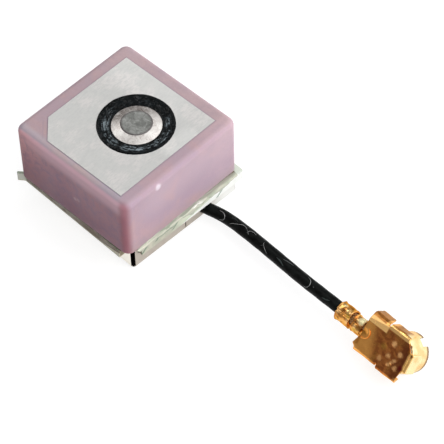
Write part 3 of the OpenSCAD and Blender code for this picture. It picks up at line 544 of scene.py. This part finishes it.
# Marks on the plug, mostly painted highlights, reflections and shade, in its own frame: place (u, v, w),
# radius and rise in mm, colour, strength
PALE = (1.0, 0.60, 0.25)
BRIGHT = (1.0, 0.66, 0.27)
CREAM = (1.0, 0.90, 0.52)
PAINTED_HOT_SPOT = (1.0, 0.92, 0.54)
ORANGE = (0.80, 0.27, 0.05)
AMBER = (1.0, 0.50, 0.16)
OLIVE = (0.52, 0.34, 0.05)
RUSSET = (0.40, 0.16, 0.02)
CHESTNUT = (0.36, 0.12, 0.018)
UMBER = (0.20, 0.065, 0.012)
DRAB = (0.20, 0.12, 0.06)
PINK = (1.0, 0.53, 0.21)
WINE = (0.16, 0.012, 0.012)
PAINTED_HOT_SPOT_AT = (-2.98, 0.36, 0.36)
MARKS = (
    # crimp on the jacket: painted highlights, reflections and shade
    ((-4.81, 0.02, 0.50), 0.26, 0.04, PALE, 0.9),
    ((-4.44, 0.18, 0.52), 0.15, -0.05, UMBER, 0.95),
    ((-4.36, -0.02, 0.54), 0.12, -0.03, UMBER, 0.6),
    ((-4.16, 0.34, 0.43), 0.24, 0.05, BRIGHT, 0.9),
    ((-3.86, 0.34, 0.45), 0.20, 0.04, BRIGHT, 0.9),
    ((-4.60, 0.46, 0.30), 0.16, 0.03, CREAM, 0.8),
    ((-4.12, 0.56, 0.12), 0.20, -0.02, UMBER, 0.8),
    ((-3.98, 0.08, 0.54), 0.22, 0.00, OLIVE, 0.8),
    ((-4.62, -0.34, 0.44), 0.18, -0.03, UMBER, 0.8),
    ((-3.86, -0.28, 0.55), 0.26, 0.02, PALE, 0.7),
    # crimp on the braid: painted highlights, reflections and shade
    ((-3.54, 0.31, 0.36), 0.20, 0.04, ORANGE, 0.9),
    ((-3.40, 0.00, 0.44), 0.20, -0.05, UMBER, 0.9),
    ((-3.56, -0.29, 0.45), 0.18, 0.02, ORANGE, 0.9),
    ((-3.28, -0.42, 0.42), 0.16, -0.02, OLIVE, 0.8),
    ((-3.30, -0.22, 0.47), 0.14, 0.03, PALE, 0.8),
    # neck: a painted hot spot, and painted shade
    (PAINTED_HOT_SPOT_AT, 0.40, 0.10, PAINTED_HOT_SPOT, 1.0),
    ((-2.80, -0.10, 0.40), 0.30, -0.06, UMBER, 0.85),
    ((-2.42, -0.02, 0.60), 0.30, -0.07, RUSSET, 0.8),
    # lid: an olive patch and a dark wine one, then raised dots painted pale pink as highlights
    ((-0.73, 0.01, 0.60), 0.30, -0.03, OLIVE, 0.35),
    ((0.97, -0.56, 0.60), 0.26, -0.02, WINE, 0.9),
    ((-0.14, 0.52, 0.60), 0.24, 0.03, PINK, 0.95),
    ((-0.17, -0.32, 0.60), 0.21, 0.03, PINK, 0.8),
    ((0.54, 0.17, 0.60), 0.23, 0.03, PINK, 0.85),
    ((-0.64, -0.79, 0.60), 0.22, 0.02, PINK, 0.6),
    ((0.06, -0.79, 0.60), 0.17, 0.03, PINK, 0.75),
    ((0.36, -0.39, 0.60), 0.18, 0.03, PINK, 0.75),
    ((0.22, -0.60, 0.60), 0.14, 0.03, PINK, 0.7),
    ((0.59, -0.75, 0.60), 0.21, 0.02, PINK, 0.65),
    # edges of the lid, the nose, and the far side of the mating ring: amber marks and dark ones, painted
    # reflections and shade
    ((-2.60, -1.28, 0.58), 0.34, 0.00, AMBER, 0.7),
    ((0.94, -1.44, 0.45), 0.22, 0.00, AMBER, 0.8),
    ((1.17, 0.34, 0.57), 0.15, 0.00, AMBER, 0.9),
    ((0.82, 0.93, 0.36), 0.15, 0.00, UMBER, 0.9),
    ((1.28, 0.52, 0.59), 0.15, 0.00, UMBER, 0.9),
    ((1.01, 0.68, 0.51), 0.19, 0.00, CHESTNUT, 0.9),
    ((0.08, 1.28, -1.32), 0.28, 0.00, DRAB, 0.95),
)
MATT = 1.8  # matt share at which the plating is most matt


def gold_lid(tone, at, cloud, fine):
    """The lid darkens from gold at the rear to dark brown at the front, a painted reflection."""
    u, v, w = split(at)
    within = times(ramp(u, 0.98, 1.12, 1.0, 0.0), ramp(v, 1.16, 1.26, 1.0, 0.0))
    lid = times(ramp(w, LID_Z - 0.13, LID_Z - 0.05), within)
    tone = mix(times(lid, 0.85), tone, (0.82, 0.36, 0.085))
    # painted reflection: dark brown towards the front of the lid
    dark_reflection = mix(ramp(grain(at, 2.4, 3, 0.6, 0.5), 0.4, 0.6), (0.30, 0.08, 0.022), (0.50, 0.17, 0.045))
    dark_reflection = mix(ramp(cloud, 0.5, 0.65, 0.0, 0.5), dark_reflection, (0.30, 0.14, 0.03))
    dark_reflection = mix(ramp(plus(u, times(fine, 0.6)), 0.3, 1.3, 0.0, 0.85), dark_reflection, (0.14, 0.03, 0.014))
    forward = plus(u, times(v, 0.33), times(cloud, 0.6))
    return mix(times(lid, ramp(forward, -1.75, -0.85, 0.0, 0.95)), tone, dark_reflection)


def gold_flaps(tone, at, cloud):
    """Painted highlight along the fold on the lid's far side, and brown flaps of painted shade beyond it;
    also gives how matt they are.
    """
    u, v, w = split(at)
    rear = ramp(u, -1.05, -0.92, 1.0, 0.0)
    crease = ramp(w, LID_Z - 0.3, LID_Z - 0.15)
    # painted highlight along the fold
    tone = mix(times(band(v, 1.14, 1.36, 0.06), crease, 0.9), tone, (1.0, 0.60, 0.22))
    rear_fold = times(band(v, 0.80, 1.2, 0.07), crease, rear)
    tone = mix(times(rear_fold, 0.95), tone, (1.0, 0.60, 0.22))
    # painted shade: brown flaps, lighter near the rear flap's front end
    front_flap = times(ramp(v, 1.32, 1.4), ramp(w, LID_Z - 0.06, LID_Z - 0.16))
    flaps = most(front_flap, times(ramp(v, 1.16, 1.26), rear))
    brown = mix(ramp(cloud, 0.35, 0.65), (0.22, 0.065, 0.008), (0.42, 0.15, 0.024))
    brown = mix(band(u, -1.25, -0.8, 0.15), brown, (0.85, 0.42, 0.11))
    tone = mix(times(flaps, 0.95), tone, brown)
    return tone, most(times(rear_fold, MATT), times(flaps, 1.1))


def gold_front(tone, at):
    """Nose, cup and mating ring painted cream as a reflection, with painted shade at the ring's mouth; also
    gives how matt they are.
    """
    u, _, w = split(at)
    nose = times(ramp(u, 1.0, 1.3), ramp(w, LID_Z, LID_Z - 0.15))
    outside = ramp(vec_calc("LENGTH", level(at)), 1.18, 1.28)
    cup = times(outside, ramp(w, 0.5, 0.38), ramp(u, 0.1, 0.5))
    front = most(nose, ramp(w, -0.45, -0.6), cup)
    # painted reflection: cream
    cream = mix(ramp(grain(at, 0.9, 2, 0.5, 0.4), 0.42, 0.58), (1.0, 0.66, 0.32), (1.0, 0.88, 0.52))
    tone = mix(times(front, 0.95), tone, cream)
    # painted shade at the ring's mouth
    return mix(ramp(w, -1.20, -1.33, 0.0, 0.9), tone, (0.24, 0.14, 0.075)), front


def gold_crimps(tone, at):
    """Brown patches on the crimps."""
    crimps = ramp(split(at)[0], -2.6, -2.35, 1.0, 0.0)
    patch = grain(moved(at, (1, 6, 3)), 2.4, 2, 0.5, 0.8)
    return mix(times(crimps, ramp(patch, 0.40, 0.58, 0.25, 0.9)), tone, (0.50, 0.19, 0.035))


def gold_material():
    """Gold plate in the plug's own frame, with painted highlights, reflections and shade; at most of the
    painted places it is made matt.
    """
    mat, shader = material("gold_plate")
    at = coords(mat, PLUG_AT, PLUG_TURN)
    cloud = grain(at, 1.5, 4, 0.62, 0.5)
    fine = grain(moved(at, (5, 2, 8)), 6, 3, 0.6)
    tone = mix(ramp(cloud, 0.3, 0.7), (0.92, 0.45, 0.11), (1.0, 0.60, 0.20))
    tone = gold_lid(tone, at, cloud, fine)
    tone, matt_flaps = gold_flaps(tone, at, cloud)
    tone, matt_front = gold_front(tone, at)
    tone = gold_crimps(tone, at)
    matt_share = most(matt_front, ramp(distance(at, PAINTED_HOT_SPOT_AT), 0.2, 0.45, MATT, 0.0), matt_flaps)
    for place, size, rise, color, amount in MARKS:
        ragged = plus(distance(at, place), times(fine, 0.22))
        near = ramp(ragged, size * 0.25 + 0.1, size * 1.2 + 0.1, amount, 0.0)
        tone = mix(near, tone, color)
        if color == PINK:
            matt_share = most(matt_share, near)
    surface(shader, tone, ramp(cloud, 0.2, 0.8, 0.17, 0.3), ramp(matt_share, 0.0, MATT, 1.0, 0.25))
    shader.inputs["Specular Tint"].default_value = (1.0, 0.74, 0.40, 1)
    bump(shader, plus(cloud, times(fine, 0.12)), 30, 0.6)
    return mat


def cable_material():
    """Black jacket that shows a faint lay."""
    mat, shader = material("cable_black")
    lay = grain(stretch(coords(mat), (1.4, 3, 3)), 1.2, 3)
    tone = mix(ramp(lay, 0.3, 0.7), (0.0015, 0.0016, 0.0016), (0.007, 0.0085, 0.008))
    surface(shader, tone, ramp(lay, 0.3, 0.7, 0.3, 0.46), specular=0.06)
    bump(shader, lay, 60, 0.9)
    return mat


# where the painted highlight streaks on the resin are denser: place from the feed, radius, how much
PAINTED_STREAK_SPOTS = (
    ((-1.28, -1.36, 0), 0.7, 0.09),
    ((-0.14, -2.0, 0), 0.6, 0.05),
    ((1.0, -1.76, 0), 0.6, 0.06),
    ((1.75, -1.35, 0), 0.5, 0.05),
    ((2.05, 0.1, 0), 0.4, 0.06),
    ((1.41, 1.4, 0), 0.35, 0.05),
)


def resin_material():
    """Glossy black resin with streaks of painted highlight that run round it, in a frame at the feed."""
    mat, shader = material("black_resin")
    at = coords(mat, (*FEED_AT, 0))
    wave = grain(at, 2.6, 3, 0.55, 0.7)
    tone = mix(ramp(wave, 0.3, 0.7), (0.0015, 0.002, 0.002), (0.004, 0.006, 0.007))
    flat = level(at)
    reach = vec_calc("LENGTH", flat)
    way = vec_calc("NORMALIZE", flat)
    lane = add_node("CombineXYZ", reach)
    put(lane.inputs[2], times(reach, 1.9))
    painted_streaks = grain(moved(vec_calc("MULTIPLY", way, (1.1, 1.1, 0)), lane.outputs[0]), 4.2, 5, 0.72, 0.7)
    for place, size, amount in PAINTED_STREAK_SPOTS:
        painted_streaks = plus(painted_streaks, ramp(distance(flat, place), size * 0.3, size, amount, 0.0))
    # none on the side away from the cable, nor close to the ring's rims
    open_side = ramp(vec_calc("DOT_PRODUCT", way, (-0.6, 0.8, 0.0)), 0.05, 0.75, 1.0, 0.06)
    lanes = times(band(reach, LAND_R + 0.22, RING_R - 0.38, 0.16), open_side)
    # painted highlights: pale bluish streaks round the ring
    tone = mix(times(ramp(painted_streaks, 0.51, 0.70), lanes, 0.85), tone, (0.26, 0.31, 0.34))
    surface(shader, tone, 0.13, specular=0.09)
    bump(shader, wave, 28, 0.8)
    return mat


# name, two colours, lumps in a mm, roughness and, where it isn't plain, metal and relief in microns
PLAIN = (
    ("chip_resin", (0.02, 0.02, 0.022), (0.035, 0.035, 0.037), 6, 0.6),
    ("filter_case", (0.5, 0.45, 0.3), (0.6, 0.55, 0.4), 4, 0.45, 0.3),
    ("capacitor_ceramic", (0.33, 0.22, 0.13), (0.42, 0.3, 0.19), 6, 0.5),
    ("inductor_ceramic", (0.1, 0.12, 0.11), (0.15, 0.17, 0.15), 6, 0.5),
    ("resistor_ceramic", (0.02, 0.02, 0.022), (0.04, 0.04, 0.042), 6, 0.5),
    ("braid_metal", (0.42, 0.24, 0.10), (0.75, 0.50, 0.26), 6, 0.3, 0.95, 20),
    ("dielectric_white", (0.75, 0.74, 0.7), (0.82, 0.81, 0.78), 4, 0.4),
    ("core_metal", (0.6, 0.5, 0.3), (0.7, 0.6, 0.4), 6, 0.3, 1.0),
    ("plug_polymer", (0.7, 0.69, 0.62), (0.78, 0.77, 0.7), 3, 0.45),
)
MATS = {
    "ceramic": ceramic_material(),
    "fired_silver": silver_material(),
    "black_resin": resin_material(),
    "pin_metal": pin_material(),
    "solder": solder_material(),
    "adhesive": adhesive_material(),
    "board_laminate": board_material(),
    "tin_plate": tin_material(),
    "cable_black": cable_material(),
    "gold_plate": gold_material(),
}
for row in PLAIN:
    MATS[row[0]] = plain_material(*row)


def dress(obj, mat):
    obj.data.materials.clear()
    obj.data.materials.append(mat)


for entry in frame["record"]["subparts"]:
    dress(nodes[entry["node"]], MATS[entry["material_slot"]])


# Pieces
def make(name, bm, mat, replaces=()):
    """A smooth-shaded piece from bm, riding on the root body."""
    mesh = bpy.data.meshes.new(name)
    bmesh.ops.recalc_face_normals(bm, faces=bm.faces)
    bm.normal_update()
    bm.to_mesh(mesh)
    bm.free()
    for face in mesh.polygons:
        face.use_smooth = True
    obj = bpy.data.objects.new(name, mesh)
    bpy.context.scene.collection.objects.link(obj)
    mesh.materials.append(mat)
    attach(obj, "root")
    if replaces:
        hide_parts(*replaces)
    return obj


def spline(points, steps):
    """Smooth curve through the points (Catmull-Rom)."""
    pts = [points[0] * 2 - points[1], *points, points[-1] * 2 - points[-2]]
    out = []
    for i in range(1, len(pts) - 2):
        a, b, c, d = pts[i - 1:i + 3]
        for k in range(steps):
            t = k / steps
            out.append(0.5 * (2 * b + (c - a) * t + (2 * a - 5 * b + 4 * c - d) * t * t
                              + (3 * b - a - 3 * c + d) * t ** 3))
    return out + [points[-1].copy()]


def angles(count):
    """That many even angles round a circle."""
    return [2 * math.pi * k / count for k in range(count)]


def skin(bm, rings, closed=False):
    """Adds faces between equal loops of points; the two ends are capped, or joined if closed."""
    loops = [[bm.verts.new(p) for p in ring] for ring in rings]
    pairs = list(zip(loops, loops[1:]))
    if closed:
        pairs.append((loops[-1], loops[0]))
    for near, far in pairs:
        count = len(near)
        for k in range(count):
            bm.faces.new((near[k], far[k], far[(k + 1) % count], near[(k + 1) % count]))
    if not closed:
        bm.faces.new(list(reversed(loops[0])))
        bm.faces.new(loops[-1])
    return bm


def frames(path):
    """Tangent, side and up along a path, without twist."""
    out = []
    side = None
    last = len(path) - 1
    for i in range(len(path)):
        along = (path[min(i + 1, last)] - path[max(i - 1, 0)]).normalized()
        if side is None:
            side = along.cross(Vector((0, 0, 1))).normalized()
        else:
            side = (side - along * side.dot(along)).normalized()
        out.append((along, side, side.cross(along)))
    return out


def tube(bm, path, radius_at, sides):
    """Adds a tube; radius_at gives its radius for the number of a path point and an angle."""
    rings = []
    for i, (p, (_, side, up)) in enumerate(zip(path, frames(path))):
        rings.append([p + radius_at(i, a) * (math.cos(a) * side + math.sin(a) * up) for a in angles(sides)])
    return skin(bm, rings)


def hum(*p):
    """Smooth noise between about -1 and 1."""
    return noise.noise(Vector(p))


def block_frame(extra_turn=0.0):
    """The ceramic's frame in mm, turned further by extra_turn."""
    return Matrix.Translation(PATCH_AT) @ Matrix.Rotation(PATCH_TURN + extra_turn, 4, "Z")


# Cable: jacket with a slight lay, and the pale hairs stuck to it
cable_path = spline([Vector(p) * MM for p in ROUTE], 30)
cable_axes = frames(cable_path)
LAY_PITCH = 1.27


def cable_radius(i, angle):
    p = cable_path[i] / MM
    lay = 0.5 + 0.5 * math.sin(2 * math.pi * p.x / LAY_PITCH + angle + 0.8 * hum(p.x * 0.5, 2, 3))
    dent = hum(p.x * 0.8, math.cos(angle) * 0.7, math.sin(angle) * 0.7)
    return CABLE_R * MM * (0.985 + 0.022 * lay + 0.022 * dent)


make("cable_jacket_skin", tube(bmesh.new(), cable_path, cable_radius, 48), MATS["cable_black"],
     replaces=("cable_jacket",))


def on_cable(x, angle, rise):
    """Point on the jacket at that X (mm), angle round it and rise over it (mm)."""
    i = min(range(len(cable_path)), key=lambda k: abs(cable_path[k].x / MM - x))
    along, side, up = cable_axes[i]
    p = cable_path[i] + along * ((x * MM - cable_path[i].x) / along.x)
    return p + (cable_radius(i, angle) + rise * MM) * (math.cos(angle) * side + math.sin(angle) * up)


# each hair or scuff: its points (X in mm, angle round the cable), half width in mm, kind
HAIRS = (
    (((5.44, 2.0), (5.65, 1.95), (5.87, 1.9)), 0.016, "hair_dim"),
    (((6.0, 1.56), (6.31, 1.48), (6.56, 1.1), (6.57, 0.5), (6.23, 0.1)), 0.017, "hair"),
    (((7.14, 0.5), (7.34, 0.87), (7.8, 1.4), (7.95, 1.68), (8.29, 1.66), (8.63, 1.25)), 0.014, "hair"),
    (((7.02, 1.55), (7.27, 1.72), (7.58, 1.6)), 0.010, "hair_dim"),
    (((8.76, 1.0), (8.62, 1.3), (8.72, 1.65), (8.98, 1.8), (9.22, 1.72)), 0.014, "hair"),
    (((10.0, 1.64), (10.14, 1.24), (10.42, 0.81), (10.72, 0.45)), 0.012, "hair"),
    (((9.96, 0.86), (10.14, 1.19)), 0.012, "hair_dim"),
    (((11.47, 1.07), (11.83, 1.0), (12.2, 0.67)), 0.045, "hair_faint"),
    (((11.86, 1.52), (12.23, 1.68), (12.73, 1.83)), 0.028, "hair_dim"),
    (((14.12, 1.85), (14.38, 1.66), (14.56, 1.06), (14.44, 0.4), (14.14, 0.15)), 0.017, "hair"),
    (((14.8, 1.14), (14.86, 1.1), (14.93, 1.05)), 0.020, "hair_dim"),
    (((15.77, 0.62), (16.11, 0.77), (16.37, 0.99)), 0.040, "hair_faint"),
)
HAIR_TONES = {
    "hair": (0.36, 0.37, 0.365),
    "hair_dim": (0.10, 0.11, 0.11),
    "hair_faint": (0.022, 0.034, 0.032),
}
HAIR_RISE = 0.002


def add_hair(bm, points, half):
    """A thin tube along the jacket that tapers towards its ends."""
    line = spline([on_cable(x, angle, HAIR_RISE) for x, angle in points], 8)
    last = len(line) - 1
    tube(bm, line, lambda i, angle: half * MM * (0.45 + 0.55 * math.sin(math.pi * i / last)), 6)


for kind, tone in HAIR_TONES.items():
    mat, shader = material(kind)
    surface(shader, tone, 0.5, specular=0.3)
    bm = bmesh.new()
    for points, half, own_kind in HAIRS:
        if own_kind == kind:
            add_hair(bm, points, half)
    make("cable_" + kind + "s", bm, mat)


# Resin ring: wavy cured resin between the patch and the land
def ring_rings():
    """Loops over the ring's top from the patch to the land, with a foot loop before and after them."""
    land = Vector(FEED_AT)
    middle = land + Matrix.Rotation(PATCH_TURN, 2) @ Vector(RING_SHIFT)
    rows = 26
    rings = []
    for j in range(rows + 1):
        share = j / rows
        bulge = min(1.0, 2.2 * math.sin(math.pi * share))
        ring = []
        for a in angles(220):
            way = Vector((math.cos(a), math.sin(a)))
            ragged = 0.018 * hum(3 * way.x, 3 * way.y, 1) + 0.010 * hum(9 * way.x, 9 * way.y, 4)
            outer = middle + way * (RING_R + 0.02 + ragged)
            inner = land + way * (LAND_R - 0.03 + 0.02 * hum(4 * way.x, 4 * way.y, 7))
            p = outer.lerp(inner, share)
            wave = (0.040 * hum(p.x * 2.6, p.y * 2.6, 3) + 0.034 * hum(p.x * 5.5, p.y * 5.5, 8)
                    + 0.012 * hum(p.x * 12, p.y * 12, 5))
            z = FACE_Z + 0.034 + bulge * (0.045 + wave)
            ring.append(Vector((p.x, p.y, max(z, FACE_Z + 0.01))) * MM)
        rings.append(ring)
    feet = [[Vector((p.x, p.y, FACE_Z * MM)) for p in ring] for ring in (rings[0], rings[-1])]
    return [feet[0], *rings, feet[1]]


make("insulating_ring_skin", skin(bmesh.new(), ring_rings(), closed=True), MATS["black_resin"],
     replaces=("insulating_ring",))

# Adhesive: the pad under the ceramic, a bead pressed out over the board's edge, low ridges elsewhere
BEAD_START = -4.25
BEAD_END = 4.65


def bead_rings():
    """Cross-sections of the bead from its front end to its far end."""
    rings = []
    steps = 150
    for i in range(steps + 1):
        y = BEAD_START + (BEAD_END - BEAD_START) * i / steps
        ends = max(0.0, min(1.0, (y - BEAD_START) / 0.5, (BEAD_END - y) / 0.4)) ** 0.5
        high = ends * (0.055 + 0.05 * (0.5 + hum(y * 0.9, 4, 2)) + 0.05 * max(0, hum(y * 2.7, 1, 6)))
        wide = 0.05 + ends * (0.06 + 0.05 * hum(y * 1.1, 7, 2))
        drop = 0.05 + ends * (0.20 + 0.34 * hum(y * 0.8, 3, 9) + 0.16 * hum(y * 2.9, 5, 1))
        drop = max(drop, 0.03)
        thick = 0.012 + ends * 0.028 * (1 + hum(y * 2.1, 2, 8))
        wall = block_frame() @ Vector((4.97, y, 0))
        # X and rise over the board: down from the ceramic's wall, over the edge, and back under it
        section = (
            (wall.x, 0.10 + high),
            (wall.x + 0.45 * wide, 0.085 + 0.75 * high),
            (wall.x + wide, 0.05 + 0.35 * high),
            (BOARD_EDGE - 0.01 + thick * 0.5, 0.012 + thick * 0.4),
            (BOARD_EDGE + thick, -0.03),
            (BOARD_EDGE + thick * 0.8, -0.5 * drop),
            (BOARD_EDGE + thick * 0.35, -0.85 * drop),
            (BOARD_EDGE - 0.02, -drop),
            (BOARD_EDGE - 0.03, -0.01),
            (wall.x - 0.15, 0.0),
            (wall.x - 0.15, 0.09),
            (wall.x - 0.02, 0.09),
        )
        ring = []
        for x, rise in section:
            z = BOARD_TOP + rise
            ring.append(Vector((x, wall.y + 0.02 * hum(x * 6, z * 6, y * 2), z)) * MM)
        rings.append(ring)
    return rings


def ridge_rings(degrees):
    """Cross-sections of the ridge on the side that lies that far round from the cable side."""
    spin = block_frame(math.radians(degrees))
    rings = []
    steps = 60
    for i in range(steps + 1):
        y = -4.3 + 8.6 * i / steps
        wide = 0.035 + 0.03 * hum(y * 1.3, degrees, 2)
        middle = Vector((4.95, y, 2.04))
        rings.append([(spin @ (middle + Vector((wide * math.cos(a), 0, 0.05 * math.sin(a))))) * MM
                      for a in angles(10)])
    return rings


bm = skin(bmesh.new(), bead_rings())
pad = bmesh.ops.create_cube(bm, size=1)["verts"]
pad_at = PATCH_AT + Vector((0, 0, BOARD_TOP + PAD_HEIGHT / 2))
pad_frame = Matrix.Translation(pad_at * MM) @ Matrix.Rotation(PATCH_TURN, 4, "Z")
pad_size = Matrix.Diagonal((PAD_SIDE * MM, PAD_SIDE * MM, PAD_HEIGHT * MM, 1))
bmesh.ops.transform(bm, matrix=pad_frame @ pad_size, verts=pad)
for degrees in (90, 180, 270):
    skin(bm, ridge_rings(degrees))
bead = make("adhesive_bead", bm, MATS["adhesive"], replaces=("adhesive_pad",))
rounding = bead.modifiers.new("round", "SUBSURF")
rounding.levels = 1
rounding.render_levels = 1

# Plug: the stamped sheet with rounded edges, a slightly bent lid and crimps pressed unevenly
PLUG_IN = Matrix.Translation(PLUG_AT * MM) @ PLUG_TURN.to_matrix().to_4x4()
SHELL_VOXEL = 0.035
SHELL_ROUNDS = 6
CRIMPS_U = -2.62  # mm along the plug, where the crimps end
FLAP_U = -0.98  # and where the rear flap ends


def voxel_copy(source, voxel, rounds):
    """The node's mesh remade from small voxels, with its edges rounded."""
    work = bpy.data.objects.new("voxel_work", source.data.copy())
    bpy.context.scene.collection.objects.link(work)
    remade = work.modifiers.new("voxels", "REMESH")
    remade.mode = "VOXEL"
    remade.voxel_size = voxel
    soft = work.modifiers.new("soft", "SMOOTH")
    soft.factor = 0.5
    soft.iterations = rounds
    mesh = bpy.data.meshes.new_from_object(work.evaluated_get(bpy.context.evaluated_depsgraph_get()))
    old = work.data
    bpy.data.objects.remove(work)
    bpy.data.meshes.remove(old)
    bm = bmesh.new()
    bm.from_mesh(mesh)
    bpy.data.meshes.remove(mesh)
    return bm


def pressed(p):
    """Where a point of the plug, in its own frame, lies on the real, unevenly pressed sheet."""
    u, v, w = p
    over_lid = w > LID_Z - 0.4
    move = Vector((0, 0, 0))
    out = Vector((0, 0, 1))
    fade = 1.0
    press = 0.0
    if u < CRIMPS_U:
        fade = min(1.0, (CRIMPS_U - u) / 0.2)
        out = Vector((0, v, w)).normalized()
        press = 0.035 * hum(u * 1.9, out.y * 1.2, out.z * 1.2)
        press += 0.018 * hum(u * 4.5, out.y * 2.6, out.z * 2.6 + 5)
    elif over_lid and u < 1.2:
        press = 0.035 * hum(u * 0.9, v * 0.9, 4) + 0.012 * hum(u * 2.6, v * 2.6, 8)
        press -= 0.02 * max(0.0, u + 0.4)
    if w > -0.3:
        for place, size, rise, color, amount in MARKS:
            squared = (p - Vector(place)).length_squared
            if squared < 4 * size * size:
                press += rise * math.exp(-2.2 * squared / (size * size))
    # the lid's near rear corner is drawn out, and the rear flap is bent down
    if over_lid and u > -2.6:
        move.x = -0.5 * max(0.0, -0.35 - v) * max(0.0, -1.9 - u)
    bend = v - 0.93 - 0.17 * (u + 2.6)
    if bend > 0 and u < FLAP_U:
        move.z -= 0.55 * min(bend, 0.5) * min(1.0, (FLAP_U - u) / 0.12)
    if abs(v) > 1.2 and w < LID_Z - 0.05:
        move.y = 0.03 * hum(u * 1.4, w * 1.4, 3) * (1 if v > 0 else -1)
    return p + move + out * press * fade


bm = voxel_copy(nodes["plug_shell"], SHELL_VOXEL * MM, SHELL_ROUNDS)
from_plug = PLUG_IN.inverted()
for vert in bm.verts:
    vert.co = PLUG_IN @ (pressed((from_plug @ vert.co) / MM) * MM)
# lip of the lid's rear, rolled round the cable's way in
LIP = ((-2.98, -0.40, 0.36), (-2.66, -0.45, 0.50), (-2.36, -0.42, 0.61), (-2.12, -0.30, 0.63),
       (-2.0, -0.06, 0.63), (-2.04, 0.16, 0.63), (-2.2, 0.3, 0.62))
LIP_R = 0.055
lip = spline([PLUG_IN @ (Vector(p) * MM) for p in LIP], 8)
tube(bm, lip, lambda i, a: LIP_R * MM * (0.4 + 0.6 * math.sin(math.pi * (i + 1) / (len(lip) + 1))), 12)
make("plug_shell_skin", bm, MATS["gold_plate"], replaces=("plug_shell",))

# Braid: bare wires wound both ways round the solid braid, between the crimps
BRAID_U = -4.0
BRAID_LENGTH = 0.55
BRAID_R = 0.35
WIRE_R = 0.022
WIRES = 14


def braid_wires(bm):
    """Adds the wires; the two ways round pass over and under each other."""
    steps = 8
    for hand in (-1, 1):
        for first in angles(WIRES):
            line = []
            for i in range(steps + 1):
                a = first + hand * 1.1 * i / steps
                r = BRAID_R + 0.012 * hand * math.cos(WIRES * a)
                place = Vector((BRAID_U + BRAID_LENGTH * i / steps, r * math.cos(a), r * math.sin(a)))
                line.append(PLUG_IN @ (place * MM))
            tube(bm, line, lambda i, a: WIRE_R * MM, 6)
    return bm


make("braid_wires", braid_wires(bmesh.new()), MATS["braid_metal"])


# Stage: a floor that the camera sees as evenly pale, while its light on the part stays soft
def floor_material():
    mat, shader = material("floor")
    surface(shader, (0.4, 0.4, 0.4), 1, specular=0)
    tree = mat.node_tree
    paper = tree.nodes.new("ShaderNodeBsdfDiffuse")
    put(paper.inputs["Color"], (0.3, 0.3, 0.3))
    glow = tree.nodes.new("ShaderNodeEmission")
    put(glow.inputs["Strength"], 0.8)
    both = tree.nodes.new("ShaderNodeAddShader")
    fill(both, paper.outputs[0], glow.outputs[0])
    path = tree.nodes.new("ShaderNodeLightPath")
    seen = most(*(path.outputs[f"Is {way} Ray"] for way in ("Camera", "Glossy", "Transmission")))
    mixer = tree.nodes.new("ShaderNodeMixShader")
    fill(mixer, seen, shader.outputs[0], both.outputs[0])
    out = next(node for node in tree.nodes if node.type == "OUTPUT_MATERIAL")
    put(out.inputs[0], mixer.outputs[0])
    return mat


FLOOR_HALF = 1.5
FLOOR_Z = -0.02 * MM
corners = [(x * FLOOR_HALF, y * FLOOR_HALF, 0) for x, y in ((-1, -1), (1, -1), (1, 1), (-1, 1))]
floor_mesh = bpy.data.meshes.new("floor")
floor_mesh.from_pydata(corners, [], [(0, 1, 2, 3)])
floor = bpy.data.objects.new("floor", floor_mesh)
floor.location.z = FLOOR_Z
bpy.context.scene.collection.objects.link(floor)
dress(floor, floor_material())

# World: white to the camera, and as light brighter towards the key
KEY_DIR = (0.814, 0.470, 0.342)


def set_world():
    world = bpy.data.worlds.new("world")
    bpy.context.scene.world = world
    world.use_nodes = True
    tree = world.node_tree
    tree.nodes.clear()
    out = tree.nodes.new("ShaderNodeOutputWorld")
    back = tree.nodes.new("ShaderNodeBackground")
    put(out.inputs[0], back.outputs[0])
    path = tree.nodes.new("ShaderNodeLightPath")
    around = tree.nodes.new("ShaderNodeTexCoord").outputs["Generated"]
    soft = ramp(vec_calc("DOT_PRODUCT", around, KEY_DIR), -0.2, 1.0, 0.12, 2.0)
    soft = most(soft, times(path.outputs["Is Glossy Ray"], 0.4))
    strength = tree.nodes.new("ShaderNodeMix")
    put(strength.inputs[0], most(path.outputs["Is Camera Ray"], path.outputs["Is Transmission Ray"]))
    put(strength.inputs[2], soft)
    put(strength.inputs[3], 1.0)
    put(back.inputs["Strength"], strength.outputs[0])
    put(back.inputs["Color"], (1, 1, 1))


set_world()


def lamp(name, at, target, size, watts):
    """A square white area light at that place, aimed at the target, all in metres."""
    data = bpy.data.lights.new(name, "AREA")
    data.shape = "SQUARE"
    data.size = size
    data.energy = watts
    obj = bpy.data.objects.new(name, data)
    bpy.context.scene.collection.objects.link(obj)
    obj.location = at
    obj.rotation_euler = (Vector(target) - Vector(at)).to_track_quat("-Z", "Y").to_euler()


lamp("key", at=(0.16, 0.05, 0.15), target=(0.008, 0, 0.003), size=0.045, watts=0.035)
lamp("strip", at=(-0.106, 0.06, 0.154), target=(0.012, 0, 0.004), size=0.03, watts=0.016)
lamp("softbox", at=(-0.166, -0.010, 0.178), target=(0.014, 0, 0.004), size=0.13, watts=0.10)
